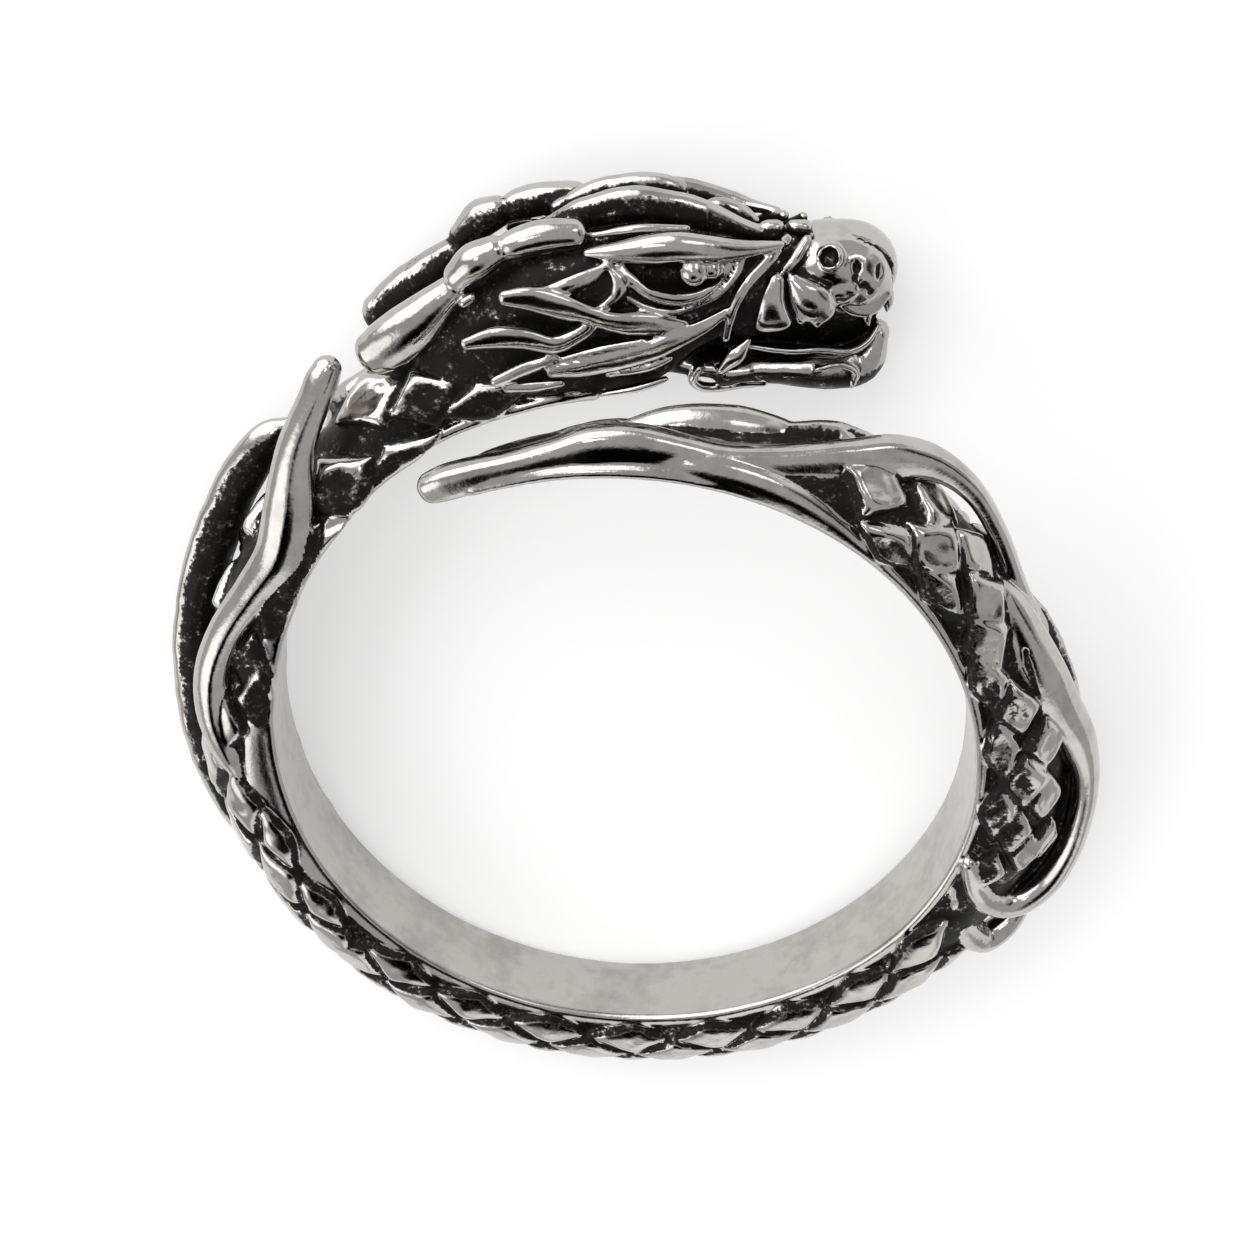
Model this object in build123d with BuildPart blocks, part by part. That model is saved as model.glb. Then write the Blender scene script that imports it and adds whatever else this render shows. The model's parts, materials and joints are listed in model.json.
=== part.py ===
from build123d import *

import os
from collections import namedtuple
from math import cos, radians, sin

import numpy as np
from build123d.topology import SkipClean

# A finger ring cast as a dragon. Its body wraps round the finger, its head lies over the top of the finger,
# and its tail comes round and passes in front of the head's lower edge without touching it.
#
# Millimetres. The ring is drawn about its finger hole: X across the hole, Y towards the head and Z along the
# hole, towards the side where the tail is. A turn is in degrees round the hole from its lowest point, growing
# by way of +X, so the head is over 180 or -180. At the end the ring is laid on its back, as on a table.

# The hoop
BORE_RADIUS = 9.5
HOOP_DEPTH = 2.2
HOOP_WIDTH = 2.4
HOOP_DRIFT = 1.33  # how far the hoop moves along the finger in the first quarter turn each way
RIM = 0.35  # plain metal between the finger wall and the carving

# The head
HEAD_LENGTH = 11.6
HEAD_HEIGHT = 5.0
HEAD_WIDTH = 3.8
HEAD_SETBACK = 3.1  # from the middle of the hoop's lowest point back to the head's middle plane
HEAD_START = 0.4  # share of the head's length that lies on the neck's side of the hole's middle
JAW_LIFT = 0.3  # from the finger wall out to the underside of the jaw
HORN_THICKNESS = 1.05
SPIKE_THICKNESS = 0.75
TOOTH_LENGTH = 0.85
EYE_RADIUS = 0.36
NOSTRIL_RADIUS = 0.24

# Fins, ribbon and scales
FIN_WIDTH = 1.4
FIN_THICKNESS = 1.1
RIBBON_WIDTH = 1.0
SCALE_LENGTH = 2.3
SCALE_WIDTH = 1.3
SCALE_RISE = 0.28
SCALE_ROOT = 0.45  # how deep a scale's foot is sunk in the hoop

SECTORS = 8  # the finger wall is cut in this many sectors, because the hoop climbs along it
SILVER = 0.0103  # grams in a cubic millimetre
ABOUT_AXIS = (Align.NONE, Align.NONE, Align.CENTER)

HoopRow = namedtuple("HoopRow", "turn depth width")
Rib = namedtuple("Rib", "turn out across width thick lean")
Slice = namedtuple("Slice", "along floor crown width")
Spur = namedtuple("Spur", "along up side width thick lean")
Scale = namedtuple("Scale", "turn lean size")

# The hoop from neck to tail: depth and width are shares of the hoop's own.
HOOP = [
    HoopRow(-178, 0.95, 1.30),
    HoopRow(-163, 1.25, 1.42),
    HoopRow(-148, 1.10, 1.38),
    HoopRow(-132, 0.82, 1.30),
    HoopRow(-114, 0.90, 1.30),
    HoopRow(-92, 1.02, 1.25),
    HoopRow(-62, 1.00, 1.15),
    HoopRow(-30, 0.99, 1.02),
    HoopRow(0, 0.93, 0.96),
    HoopRow(30, 0.98, 1.02),
    HoopRow(58, 1.12, 1.15),
    HoopRow(80, 1.26, 1.15),
    HoopRow(100, 1.16, 1.15),
    HoopRow(122, 1.06, 1.12),
    HoopRow(144, 0.96, 1.10),
    HoopRow(164, 0.60, 1.05),
    HoopRow(182, 0.40, 0.90),
    HoopRow(197, 0.34, 0.72),
    HoopRow(209, 0.22, 0.42),
]

# Ribs that follow the hoop. out is a share of the hoop's depth above the finger wall, across a share of half
# its width from its middle, width and thick shares of the rib's own sizes, and lean the turn of its broad
# face away from the radius, in degrees.
NEAR_FIN = [
    Rib(-149, 1.20, 0.60, 0.25, 0.60, 0),
    Rib(-139, 1.30, 0.82, 0.60, 0.80, 20),
    Rib(-131, 0.92, 0.90, 1.00, 1.00, 35),
    Rib(-121, 0.52, 0.96, 1.00, 1.00, 35),
    Rib(-112, 0.56, 0.92, 0.95, 1.00, 25),
    Rib(-102, 0.80, 0.82, 0.80, 0.95, 10),
    Rib(-93, 0.82, 0.80, 0.70, 0.90, 0),
    Rib(-85, 0.66, 0.84, 0.50, 0.70, 0),
    Rib(-78, 0.44, 0.88, 0.15, 0.25, 0),
]
FAR_FIN = [
    Rib(-141, 1.02, -0.20, 0.35, 0.60, 0),
    Rib(-130, 1.08, -0.62, 0.80, 0.90, -10),
    Rib(-116, 1.10, -0.92, 1.00, 1.00, -15),
    Rib(-98, 1.14, -0.92, 1.00, 1.00, -15),
    Rib(-82, 1.14, -0.80, 0.95, 1.00, -10),
    Rib(-68, 1.08, -0.60, 0.80, 0.90, 0),
    Rib(-54, 0.88, -0.40, 0.35, 0.60, 0),
]
RIBBON_TOP = [
    Rib(190, 0.28, 0.66, 0.45, 0.55, 40),
    Rib(178, 0.34, 0.70, 0.80, 0.85, 38),
    Rib(166, 0.38, 0.70, 0.90, 0.90, 32),
    Rib(155, 0.56, 0.60, 0.85, 0.90, 24),
    Rib(146, 0.96, 0.32, 0.75, 0.85, 12),
]
RIBBON = [
    Rib(151, 0.74, 0.46, 0.70, 0.80, 18),
    Rib(143, 1.10, 0.16, 0.80, 0.95, 10),
    Rib(132, 1.16, 0.00, 0.78, 1.00, 0),
    Rib(118, 1.09, 0.00, 0.78, 1.00, 0),
    Rib(104, 1.10, 0.14, 0.90, 1.00, 0),
    Rib(92, 1.30, 0.22, 0.85, 1.00, 0),
    Rib(80, 1.35, 0.28, 0.78, 1.00, 0),
    Rib(71, 1.18, 0.40, 0.80, 1.00, 10),
    Rib(65.5, 0.84, 0.60, 0.82, 0.95, 20),
    Rib(67, 0.45, 0.78, 0.60, 0.80, 30),
]
CUFF = [
    Rib(69, 0.22, 0.72, 0.40, 0.60, 20),
    Rib(61, 0.48, 0.66, 0.75, 0.80, 10),
    Rib(56, 0.92, 0.48, 0.80, 0.85, 0),
    Rib(57, 1.24, 0.15, 0.70, 0.85, 0),
    Rib(64, 1.38, -0.15, 0.40, 0.60, 0),
]
TAIL_LEAVES = [
    [Rib(192, 0.20, -0.30, 0.25, 0.40, 0), Rib(183, 0.22, -0.42, 0.45, 0.75, 0),
     Rib(173, 0.30, -0.45, 0.40, 0.65, 0)],
    [Rib(181, 0.28, -0.25, 0.25, 0.40, 0), Rib(172, 0.38, -0.38, 0.62, 0.90, 0),
     Rib(163, 0.50, -0.42, 0.75, 0.95, 0), Rib(153, 0.55, -0.50, 0.50, 0.75, 0)],
    [Rib(159, 0.55, -0.20, 0.25, 0.40, 0), Rib(150, 0.70, -0.42, 0.75, 0.90, 0),
     Rib(139, 0.72, -0.55, 0.60, 0.80, 0)],
]

# The head: along is a share of its length from the neck, floor, crown and up shares of its height from the
# underside of the jaw, side a share of half its width from its middle plane.
SKULL = [
    Slice(-0.05, 0.06, 0.34, 0.60),
    Slice(0.10, 0.02, 0.64, 0.80),
    Slice(0.25, 0.00, 0.82, 0.92),
    Slice(0.44, 0.02, 0.90, 0.97),
    Slice(0.60, 0.30, 0.84, 0.88),
    Slice(0.75, 0.38, 0.73, 0.66),
    Slice(0.83, 0.36, 0.75, 0.62),
    Slice(0.90, 0.36, 0.80, 0.66),
    Slice(0.96, 0.40, 0.78, 0.58),
    Slice(1.00, 0.49, 0.68, 0.34),
]
JAW = [
    Spur(0.43, 0.21, 0.0, 0.15, 0.84, 0),
    Spur(0.60, 0.105, 0.0, 0.185, 0.78, 0),
    Spur(0.78, 0.045, 0.0, 0.25, 0.64, 0),
    Spur(0.885, 0.02, 0.0, 0.26, 0.52, 0),
    Spur(0.945, 0.08, 0.0, 0.20, 0.40, 0),
    Spur(0.97, 0.23, 0.0, 0.10, 0.20, 0),
]
HORN = [
    Spur(0.36, 0.84, 0.46, 0.80, 0.80, 0),
    Spur(0.24, 0.80, 0.54, 0.85, 0.85, 0),
    Spur(0.13, 0.73, 0.60, 0.80, 0.80, 0),
    Spur(0.07, 0.66, 0.61, 1.05, 1.05, 0),
    Spur(-0.02, 0.48, 0.60, 1.10, 1.10, 0),
    Spur(-0.10, 0.28, 0.58, 1.00, 1.00, 0),
    Spur(-0.16, 0.13, 0.56, 0.75, 0.75, 0),
]
CREST = [
    Spur(0.22, 0.86, 0.22, 0.45, 0.60, 0),
    Spur(0.34, 0.92, 0.24, 0.70, 0.75, 0),
    Spur(0.46, 0.94, 0.24, 0.80, 0.80, 0),
    Spur(0.58, 0.90, 0.22, 0.70, 0.75, 0),
    Spur(0.70, 0.78, 0.16, 0.35, 0.50, 0),
]
BROW = [
    Spur(0.37, 0.76, 0.76, 0.45, 0.60, 0),
    Spur(0.46, 0.82, 0.82, 0.80, 0.80, 0),
    Spur(0.57, 0.82, 0.80, 0.85, 0.85, 0),
    Spur(0.67, 0.74, 0.66, 0.70, 0.75, 0),
    Spur(0.77, 0.66, 0.44, 0.35, 0.50, 0),
]
LIP = [
    Spur(0.58, 0.42, 0.80, 0.60, 0.70, 0),
    Spur(0.68, 0.46, 0.72, 1.05, 0.90, 0),
    Spur(0.79, 0.42, 0.62, 1.00, 0.90, 0),
    Spur(0.90, 0.38, 0.56, 0.60, 0.70, 0),
]
SPIKES = [
    [Spur(0.48, 0.44, 0.84, 1.10, 0.90, 0), Spur(0.36, 0.50, 1.00, 0.90, 0.80, 0),
     Spur(0.25, 0.58, 1.08, 0.60, 0.60, 0), Spur(0.13, 0.58, 1.12, 0.12, 0.15, 0)],
    [Spur(0.44, 0.42, 0.88, 1.10, 0.90, 0), Spur(0.31, 0.42, 1.04, 0.90, 0.80, 0),
     Spur(0.19, 0.38, 1.12, 0.60, 0.60, 0), Spur(0.07, 0.34, 1.15, 0.12, 0.15, 0)],
    [Spur(0.56, 0.38, 0.80, 0.90, 0.80, 0), Spur(0.46, 0.34, 1.00, 0.80, 0.75, 0),
     Spur(0.37, 0.29, 1.10, 0.50, 0.55, 0), Spur(0.27, 0.22, 1.14, 0.12, 0.15, 0)],
    [Spur(0.34, 0.20, 0.88, 0.80, 0.80, 0), Spur(0.24, 0.20, 1.02, 0.60, 0.60, 0),
     Spur(0.12, 0.12, 1.10, 0.12, 0.15, 0)],
]
TEETH = [
    Spur(0.915, 0.38, 0.44, 1.00, 0.45, 0),
    Spur(0.83, 0.40, 0.48, 0.70, 0.35, 0),
]
EYE = Spur(0.56, 0.70, 0.86, 1.0, 1.0, 0)
NOSTRIL = Spur(0.865, 0.71, 0.47, 1.0, 1.0, 0)

# Scales on the hoop. lean is degrees from straight out towards +Z, size a share of a full scale.
SCALES = (
    [Scale(turn, 58, 1.00) for turn in (-64, -46, -28, -10, 8, 26, 44)]
    + [Scale(turn, 14, 1.00) for turn in (-55, -37, -19, -1, 17, 35, 50)]
    + [Scale(turn, -32, 0.90) for turn in (-46, -28, -10, 8, 26, 44)]
    + [Scale(turn, 72, 0.70) for turn in (86, 97, 108, 119, 130, 141)]
    + [Scale(turn, 34, 0.80) for turn in (80, 91, 102, 113, 124, 135)]
    + [Scale(turn, -44, 0.90) for turn in (62, 76, 90, 104, 118, 132)]
    + [Scale(turn, 0, 0.90) for turn in (-74, -88, -102, -116)]
)


def hoop_middle(turn):
    """Height of the hoop's middle along the finger: it climbs each way, then levels out or meets the neck."""
    if turn > 90:
        return HOOP_DRIFT
    if turn < -90:
        share = min((-90 - turn) / 60, 1)
        return -HOOP_DRIFT * (1 - share) - HEAD_SETBACK * share
    return HOOP_DRIFT * turn / 90


def hoop_size(turn):
    """Depth and width of the hoop at a turn, read between the rows of its table."""
    turns = [row.turn for row in HOOP]
    depth = np.interp(turn, turns, [row.depth for row in HOOP])
    width = np.interp(turn, turns, [row.width for row in HOOP])
    return float(depth) * HOOP_DEPTH, float(width) * HOOP_WIDTH


def outward(turn):
    return Vector(sin(radians(turn)), -cos(radians(turn)), 0)


def forward(turn):
    return Vector(cos(radians(turn)), sin(radians(turn)), 0)


def on_hoop(turn, out, across):
    radius = BORE_RADIUS + out * HOOP_DEPTH
    height = hoop_middle(turn) + across * hoop_size(turn)[1] / 2
    return outward(turn) * radius + Vector(0, 0, height)


def on_head(along, up, side):
    return Vector(
        (along - HEAD_START) * HEAD_LENGTH,
        BORE_RADIUS + JAW_LIFT + up * HEAD_HEIGHT,
        side * HEAD_WIDTH / 2 - HEAD_SETBACK,
    )


def arc_rise(height, width):
    """How far the arc over a section rises above its upright sides."""
    return min(0.65 * height, 0.48 * width)


def dome(plane, floor, crown, width):
    """A section that stands on a flat foot, with upright sides and an arc over them."""
    shoulder = crown - arc_rise(crown - floor, width)
    with BuildSketch(plane) as section:
        with BuildLine():
            foot = Line((floor, -width * 0.44), (floor, width * 0.44))
            side = Line(foot @ 1, (shoulder, width / 2))
            over = ThreePointArc(side @ 1, (crown, 0), (shoulder, -width / 2))
            Line(over @ 1, foot @ 0)
        make_face()
    return section.sketch.face()


def lens(plane, width, thick):
    """A section of two arcs that meet in sharp edges."""
    with BuildSketch(plane) as section:
        with BuildLine():
            ThreePointArc((-width / 2, 0), (0, thick / 2), (width / 2, 0))
            ThreePointArc((width / 2, 0), (0, -thick / 2), (-width / 2, 0))
        make_face()
    return section.sketch.face()


def oval(plane, width, thick):
    with BuildSketch(plane) as section:
        Ellipse(width / 2, thick / 2)
    return section.sketch.face()


def planes_along(points, broad, leans):
    """A plane across the path at each of its points, its X axis as near as it goes to the broad direction."""
    planes = []
    for index, point in enumerate(points):
        before = points[max(index - 1, 0)]
        after = points[min(index + 1, len(points) - 1)]
        way = (after - before).normalized()
        side = broad[index] - way * broad[index].dot(way)
        plane = Plane(origin=point, x_dir=side.normalized(), z_dir=way)
        planes.append(plane.rotated((0, 0, leans[index])))
    return planes


def limb(planes, rows, outline, width, thick):
    """A tapering piece lofted through one outline at each row's own share of its width and thickness."""
    with BuildPart() as piece:
        loft([
            outline(plane, row.width * width, row.thick * thick)
            for plane, row in zip(planes, rows)
        ])
    return piece.part


def hoop_limb(rows, outline, width, thick):
    points = [on_hoop(row.turn, row.out, row.across) for row in rows]
    broad = [outward(row.turn) for row in rows]
    return limb(planes_along(points, broad, [row.lean for row in rows]), rows, outline, width, thick)


def head_limb(rows, outline, width, thick, hand=1):
    points = [on_head(row.along, row.up, row.side * hand) for row in rows]
    broad = [Vector(0, 1, 0)] * len(rows)
    leans = [row.lean * hand for row in rows]
    return limb(planes_along(points, broad, leans), rows, outline, width, thick)


def finger_hole():
    """The finger hole's cutter in sectors, in the order that they are cut. No sector's edge may lie where the
    neck's start or the tail's tip is."""
    turn = 360 / SECTORS
    first = HOOP[-1].turn - 184
    sectors = []
    for index in range(SECTORS):
        with BuildPart() as wedge:
            Cylinder(BORE_RADIUS, 20, arc_size=turn, rotation=(0, 0, first + turn * index), align=ABOUT_AXIS)
        sectors.append(wedge.part)
    return sectors


def hoop():
    """The dragon's body, with the smooth wall that lies against the finger."""
    sections = []
    for row in HOOP:
        plane = Plane(origin=(0, 0, hoop_middle(row.turn)), x_dir=outward(row.turn), z_dir=-forward(row.turn))
        crown = BORE_RADIUS + row.depth * HOOP_DEPTH
        sections.append(dome(plane, BORE_RADIUS - RIM, crown, row.width * HOOP_WIDTH))
    with BuildPart() as piece:
        loft(sections)
    body = piece.part
    wedges = finger_hole()
    with SkipClean():
        for wedge in wedges:
            body = body.cut(wedge)
    return body


def skull():
    sections = []
    for row in SKULL:
        low, high = on_head(row.along, row.floor, 0), on_head(row.along, row.crown, 0)
        plane = Plane(origin=low, x_dir=(0, 1, 0), z_dir=(1, 0, 0))
        sections.append(dome(plane, 0, high.Y - low.Y, row.width * HEAD_WIDTH))
    with BuildPart() as piece:
        loft(sections)
    return piece.part


def tooth(row, hand):
    """A fang that points down from the upper lip."""
    root = on_head(row.along, row.up, row.side * hand)
    with BuildPart(Plane(origin=root, z_dir=(0, -1, 0))) as piece:
        Cone(row.thick, 0.05, row.width * TOOTH_LENGTH, align=(Align.CENTER, Align.CENTER, Align.MIN))
    return piece.part


def scale_pad(row):
    """A diamond scale that stands a little proud of the hoop."""
    depth, width = hoop_size(row.turn)
    rise = arc_rise(depth + RIM, width)
    radius = (width**2 / 4 + rise**2) / (2 * rise)
    normal = outward(row.turn) * cos(radians(row.lean)) + Vector(0, 0, sin(radians(row.lean)))
    middle = outward(row.turn) * (BORE_RADIUS + depth - radius) + Vector(0, 0, hoop_middle(row.turn))
    seat = middle + normal * radius
    long, wide = SCALE_LENGTH * row.size / 2, SCALE_WIDTH * row.size / 2
    top = 0.62
    with BuildPart() as piece:
        with BuildSketch(Plane(origin=seat - normal * SCALE_ROOT, x_dir=forward(row.turn), z_dir=normal)):
            Polygon((-long, 0), (0, -wide), (long, 0), (0, wide), align=None)
        with BuildSketch(Plane(origin=seat + normal * SCALE_RISE, x_dir=forward(row.turn), z_dir=normal)):
            Polygon((-long * top, 0), (0, -wide * top), (long * top, 0), (0, wide * top), align=None)
        loft()
    return piece.part


def resting_up(solid):
    """The direction that is up when the ring lies on its back. The plane that carries it passes under all of
    its points, and under its centre of mass it is as high as such a plane goes."""
    vertices, _ = solid.tessellate(0.02)
    points = np.array([tuple(vertex) for vertex in vertices])
    centre = np.array(tuple(solid.center(CenterOf.MASS)))
    up = np.array([0.0, 0.0, 1.0])
    for _ in range(3):
        across = np.array([1.0, 0.0, 0.0]) - up * up[0]
        across /= np.linalg.norm(across)
        axes = np.array([across, np.cross(up, across), up])
        x, y, z = axes @ (points - centre).T

        def clearance(slope_x, slope_y):
            return float(np.min(z - slope_x * x - slope_y * y))

        def best_slope(score):
            low, high = -0.6, 0.6
            for _ in range(36):
                third = (high - low) / 3
                if score(low + third) < score(high - third):
                    low += third
                else:
                    high -= third
            return (low + high) / 2

        slope_x = best_slope(lambda a: clearance(a, best_slope(lambda b: clearance(a, b))))
        slope_y = best_slope(lambda b: clearance(slope_x, b))
        up = axes.T @ np.array([-slope_x, -slope_y, 1.0])
        up /= np.linalg.norm(up)
    return Vector(*up)


def nostril(hand):
    """A short drilled hole that points inwards from the snout's upper side."""
    mouth = on_head(NOSTRIL.along, NOSTRIL.up, NOSTRIL.side * hand)
    with BuildPart(Plane(origin=mouth, z_dir=(0.2, -0.65, -0.75 * hand))) as piece:
        Cylinder(NOSTRIL_RADIUS, 4 * NOSTRIL_RADIUS)
    return piece.part


def eye(hand):
    with BuildPart() as piece:
        with Locations(on_head(EYE.along, EYE.up, EYE.side * hand)):
            Sphere(EYE_RADIUS)
    return piece.part


with BuildPart() as head:
    add(skull())
    add(head_limb(JAW, oval, HEAD_HEIGHT, HEAD_WIDTH))
    for hand in (1, -1):
        for rows in (HORN, CREST, BROW, LIP):
            add(head_limb(rows, oval, HORN_THICKNESS, HORN_THICKNESS, hand))
        for rows in SPIKES:
            add(head_limb(rows, lens, SPIKE_THICKNESS, SPIKE_THICKNESS, hand))
        for row in TEETH:
            add(tooth(row, hand))
        add(eye(hand))
        add(nostril(hand), mode=Mode.SUBTRACT)

body = hoop()
limbs = [hoop_limb(rows, lens, FIN_WIDTH, FIN_THICKNESS) for rows in (NEAR_FIN, FAR_FIN, *TAIL_LEAVES)]
limbs += [hoop_limb(rows, oval, RIBBON_WIDTH, RIBBON_WIDTH) for rows in (RIBBON_TOP, RIBBON, CUFF)]
pads = [scale_pad(row) for row in SCALES]

# The sectors of the finger wall stay separate faces, because no face is merged with its neighbour here.
with SkipClean():
    drawn_ring = body
    for piece in limbs + [head.part]:
        drawn_ring = drawn_ring.fuse(piece)
    drawn_ring = drawn_ring.fuse(*pads)

up = resting_up(drawn_ring)
table = Plane(origin=(0, 0, 0), x_dir=Vector(1, 0, 0) - up * up.X, z_dir=up)
lying = table.to_local_coords(drawn_ring)
box = lying.bounding_box()
shift = Vector(-box.center().X, -box.center().Y, -box.min.Z)

with BuildPart() as dragon_ring:
    add(lying.moved(Location(shift)), clean=False)

os.makedirs("parts", exist_ok=True)
dragon_ring.part.label = "dragon_ring"
export_step(dragon_ring.part, "parts/dragon_ring.step")

axis = table.to_local_coords(Vector(0, 0, 1))
print("solids", len(dragon_ring.part.solids()), "volume", round(dragon_ring.part.volume, 1))
print("mass in grams", round(dragon_ring.part.volume * SILVER, 2))
print("finger hole through", tuple(shift), "along", tuple(axis))
print("box", dragon_ring.part.bounding_box())
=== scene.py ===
import json
from collections import namedtuple
from math import cos, radians, sin

import bpy
import numpy as np
import openvdb
from mathutils import Matrix, Vector


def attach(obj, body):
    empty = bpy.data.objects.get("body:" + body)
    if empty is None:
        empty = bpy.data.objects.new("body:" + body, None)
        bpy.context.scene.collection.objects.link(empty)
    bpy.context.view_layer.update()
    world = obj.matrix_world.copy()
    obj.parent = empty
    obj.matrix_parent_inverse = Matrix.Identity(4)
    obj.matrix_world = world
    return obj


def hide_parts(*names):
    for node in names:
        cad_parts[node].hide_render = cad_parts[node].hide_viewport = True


# A finger ring cast as a dragon, carved in a block of small cubes and then skinned. Everything is drawn in
# millimetres about the finger hole, as in the part's source: X across the hole, Y towards the head and Z
# along the hole, towards the side where the tail is. A turn is in degrees round the hole from its lowest
# point.

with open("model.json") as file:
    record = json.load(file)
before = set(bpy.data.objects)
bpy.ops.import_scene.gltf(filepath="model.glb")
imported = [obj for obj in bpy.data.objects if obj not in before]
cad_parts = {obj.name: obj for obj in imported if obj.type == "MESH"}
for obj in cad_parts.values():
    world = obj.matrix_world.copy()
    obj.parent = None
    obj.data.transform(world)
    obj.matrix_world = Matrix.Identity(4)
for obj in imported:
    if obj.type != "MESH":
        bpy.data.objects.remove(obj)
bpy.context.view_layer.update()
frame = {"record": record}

GRAIN = 0.07  # the cubes' size
BAND = 7  # cubes on each side of a surface in which its distance is known
BLOCK_LOW = (-13.7, -12.6, -6.6)
BLOCK_HIGH = (13.7, 15.6, 3.9)
FIRST_TONE = 0.3  # the finish of cubes that no form has come near

BORE_RADIUS = 9.5
BORE_FILLET = 0.16
WALL_BAND = 0.12  # how deep the finger wall's polish goes
HOOP_DEPTH = 2.2
HOOP_WIDTH = 2.4
HOOP_DRIFT = 1.33  # how far the hoop climbs along the finger on its right side
RIM = 0.35  # how far the hoop's foot reaches into the finger hole before the hole is cut
SUNK = 0.16  # how far the hoop's body lies under the tops of its scales
HEAD_MIDDLE = -3.1  # Z of the plane that halves the head
MILLIMETRE = 0.001

# A section's arc, sides and foot, as shares of its height and width, and the points that draw them
ARC_HEIGHT, ARC_WIDTH, FOOT_WIDTH = 0.65, 0.48, 0.44
ARC_POINTS, SIDE_POINTS = 39, 4
OUTLINE_POINTS = 24
BALL_ROWS = 16
POLE_GAP = 0.96  # a ball's first and last rows, as a share of the way to its poles
BAR_STEPS, RIB_STEPS, HOOP_STEPS, SKULL_STEPS = 6, 8, 10, 8

# How bright a form is left by the polishing wheel, from 0, black, to 1, bright all over
BLACK, DARK, MIXED, BRIGHT, POLISHED = 0.0, 0.25, 0.5, 0.75, 1.0
FAR_SIDE = 0.32  # the most that is left on the head's far side and crests

OVAL, LEAF, BEAN = "oval", "leaf", "bean"

HoopRow = namedtuple("HoopRow", "turn depth width")
Bar = namedtuple("Bar", "x y z width thick")
Rib = namedtuple("Rib", "turn radius z width thick lean", defaults=[0])
Form = namedtuple("Form", "outline finish fillet rows")
Scale = namedtuple("Scale", "turn lean long wide rise")
Bed = namedtuple("Bed", "finish fillet scales sizes")
Panel = namedtuple("Panel", "place near far strength")

# The hoop's depth and width at each turn, as shares of HOOP_DEPTH and HOOP_WIDTH
HOOP = [
    HoopRow(-178, 0.95, 1.30),
    HoopRow(-163, 1.25, 1.42),
    HoopRow(-148, 1.10, 1.38),
    HoopRow(-132, 0.82, 1.30),
    HoopRow(-114, 0.90, 1.30),
    HoopRow(-92, 1.02, 1.25),
    HoopRow(-62, 1.00, 1.15),
    HoopRow(-30, 1.05, 1.02),
    HoopRow(0, 1.01, 0.96),
    HoopRow(30, 1.05, 1.02),
    HoopRow(58, 1.12, 1.15),
    HoopRow(80, 1.26, 1.15),
    HoopRow(100, 1.16, 1.15),
    HoopRow(122, 1.06, 1.12),
    HoopRow(144, 0.96, 1.10),
    HoopRow(164, 0.60, 1.05),
    HoopRow(182, 0.40, 0.90),
    HoopRow(197, 0.34, 0.72),
    HoopRow(209, 0.22, 0.42),
]


def hoop_middle(turn):
    """Height of the hoop's middle along the finger: it climbs each way, then levels out or meets the neck."""
    if turn > 90:
        return HOOP_DRIFT
    if turn < -90:
        share = min((-90 - turn) / 60, 1)
        return -HOOP_DRIFT * (1 - share) + HEAD_MIDDLE * share
    return HOOP_DRIFT * turn / 90


def hoop_size(turn):
    turns = [row.turn for row in HOOP]
    depth = np.interp(turn, turns, [row.depth for row in HOOP])
    width = np.interp(turn, turns, [row.width for row in HOOP])
    return float(depth) * HOOP_DEPTH, float(width) * HOOP_WIDTH


def outward(turn):
    return np.array([sin(radians(turn)), -cos(radians(turn)), 0.0])


def forward(turn):
    return np.array([cos(radians(turn)), sin(radians(turn)), 0.0])


# The block of cubes. solid holds each cube's distance to the surface, below 0 inside; tone holds the finish
# of the form that it is nearest to.
counts = [int((high - low) / GRAIN) + 1 for low, high in zip(BLOCK_LOW, BLOCK_HIGH)]
first = np.array([round(low / GRAIN) for low in BLOCK_LOW])
FAR = np.float32(BAND * GRAIN)
solid = np.full(counts, FAR, np.float32)
tone = np.full(counts, FIRST_TONE, np.float32)


def distance_field(points, quads):
    """The window of the block round a closed mesh, and the distance to it in that window."""
    grid = openvdb.FloatGrid.createLevelSetFromPolygons(
        np.asarray(points, np.float32), quads=np.asarray(quads, np.uint32),
        transform=openvdb.createLinearTransform(GRAIN), halfWidth=BAND)
    low, high = (np.array(corner) for corner in grid.evalActiveVoxelBoundingBox())
    low = np.maximum(low, first)
    high = np.minimum(high + 1, first + np.array(counts))
    field = np.empty(high - low, np.float32)
    grid.copyToArray(field, ijk=tuple(int(v) for v in low))
    return tuple(slice(a, b) for a, b in zip(low - first, high - first)), field


def add_form(mesh, finish, fillet=0.1, cut=False):
    """Joins a form to the block, or cuts it out, with a small fillet where they meet."""
    window, field = distance_field(*mesh)
    old = solid[window]
    if cut:
        field = -field
        share = np.clip(0.5 - 0.5 * (field - old) / fillet, 0, 1)
        new = field * (1 - share) + old * share + fillet * share * (1 - share)
        nearer = field > old
    else:
        share = np.clip(0.5 + 0.5 * (field - old) / fillet, 0, 1)
        new = field * (1 - share) + old * share - fillet * share * (1 - share)
        nearer = field < old
    solid[window] = new
    tone[window][nearer] = finish


def smooth_rows(rows, steps):
    """Rows of numbers with more rows between them on a smooth curve through them all."""
    rows = np.array([list(row) for row in rows], float)
    ends = np.vstack([2 * rows[0] - rows[1], rows, 2 * rows[-1] - rows[-2]])
    out = []
    for index in range(len(rows) - 1):
        a, b, c, d = ends[index:index + 4]
        for step in range(steps):
            t = step / steps
            out.append(0.5 * (2 * b + (c - a) * t + (2 * a - 5 * b + 4 * c - d) * t**2
                              + (3 * b - a - 3 * c + d) * t**3))
    return np.vstack(out + [rows[-1:]])


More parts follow.
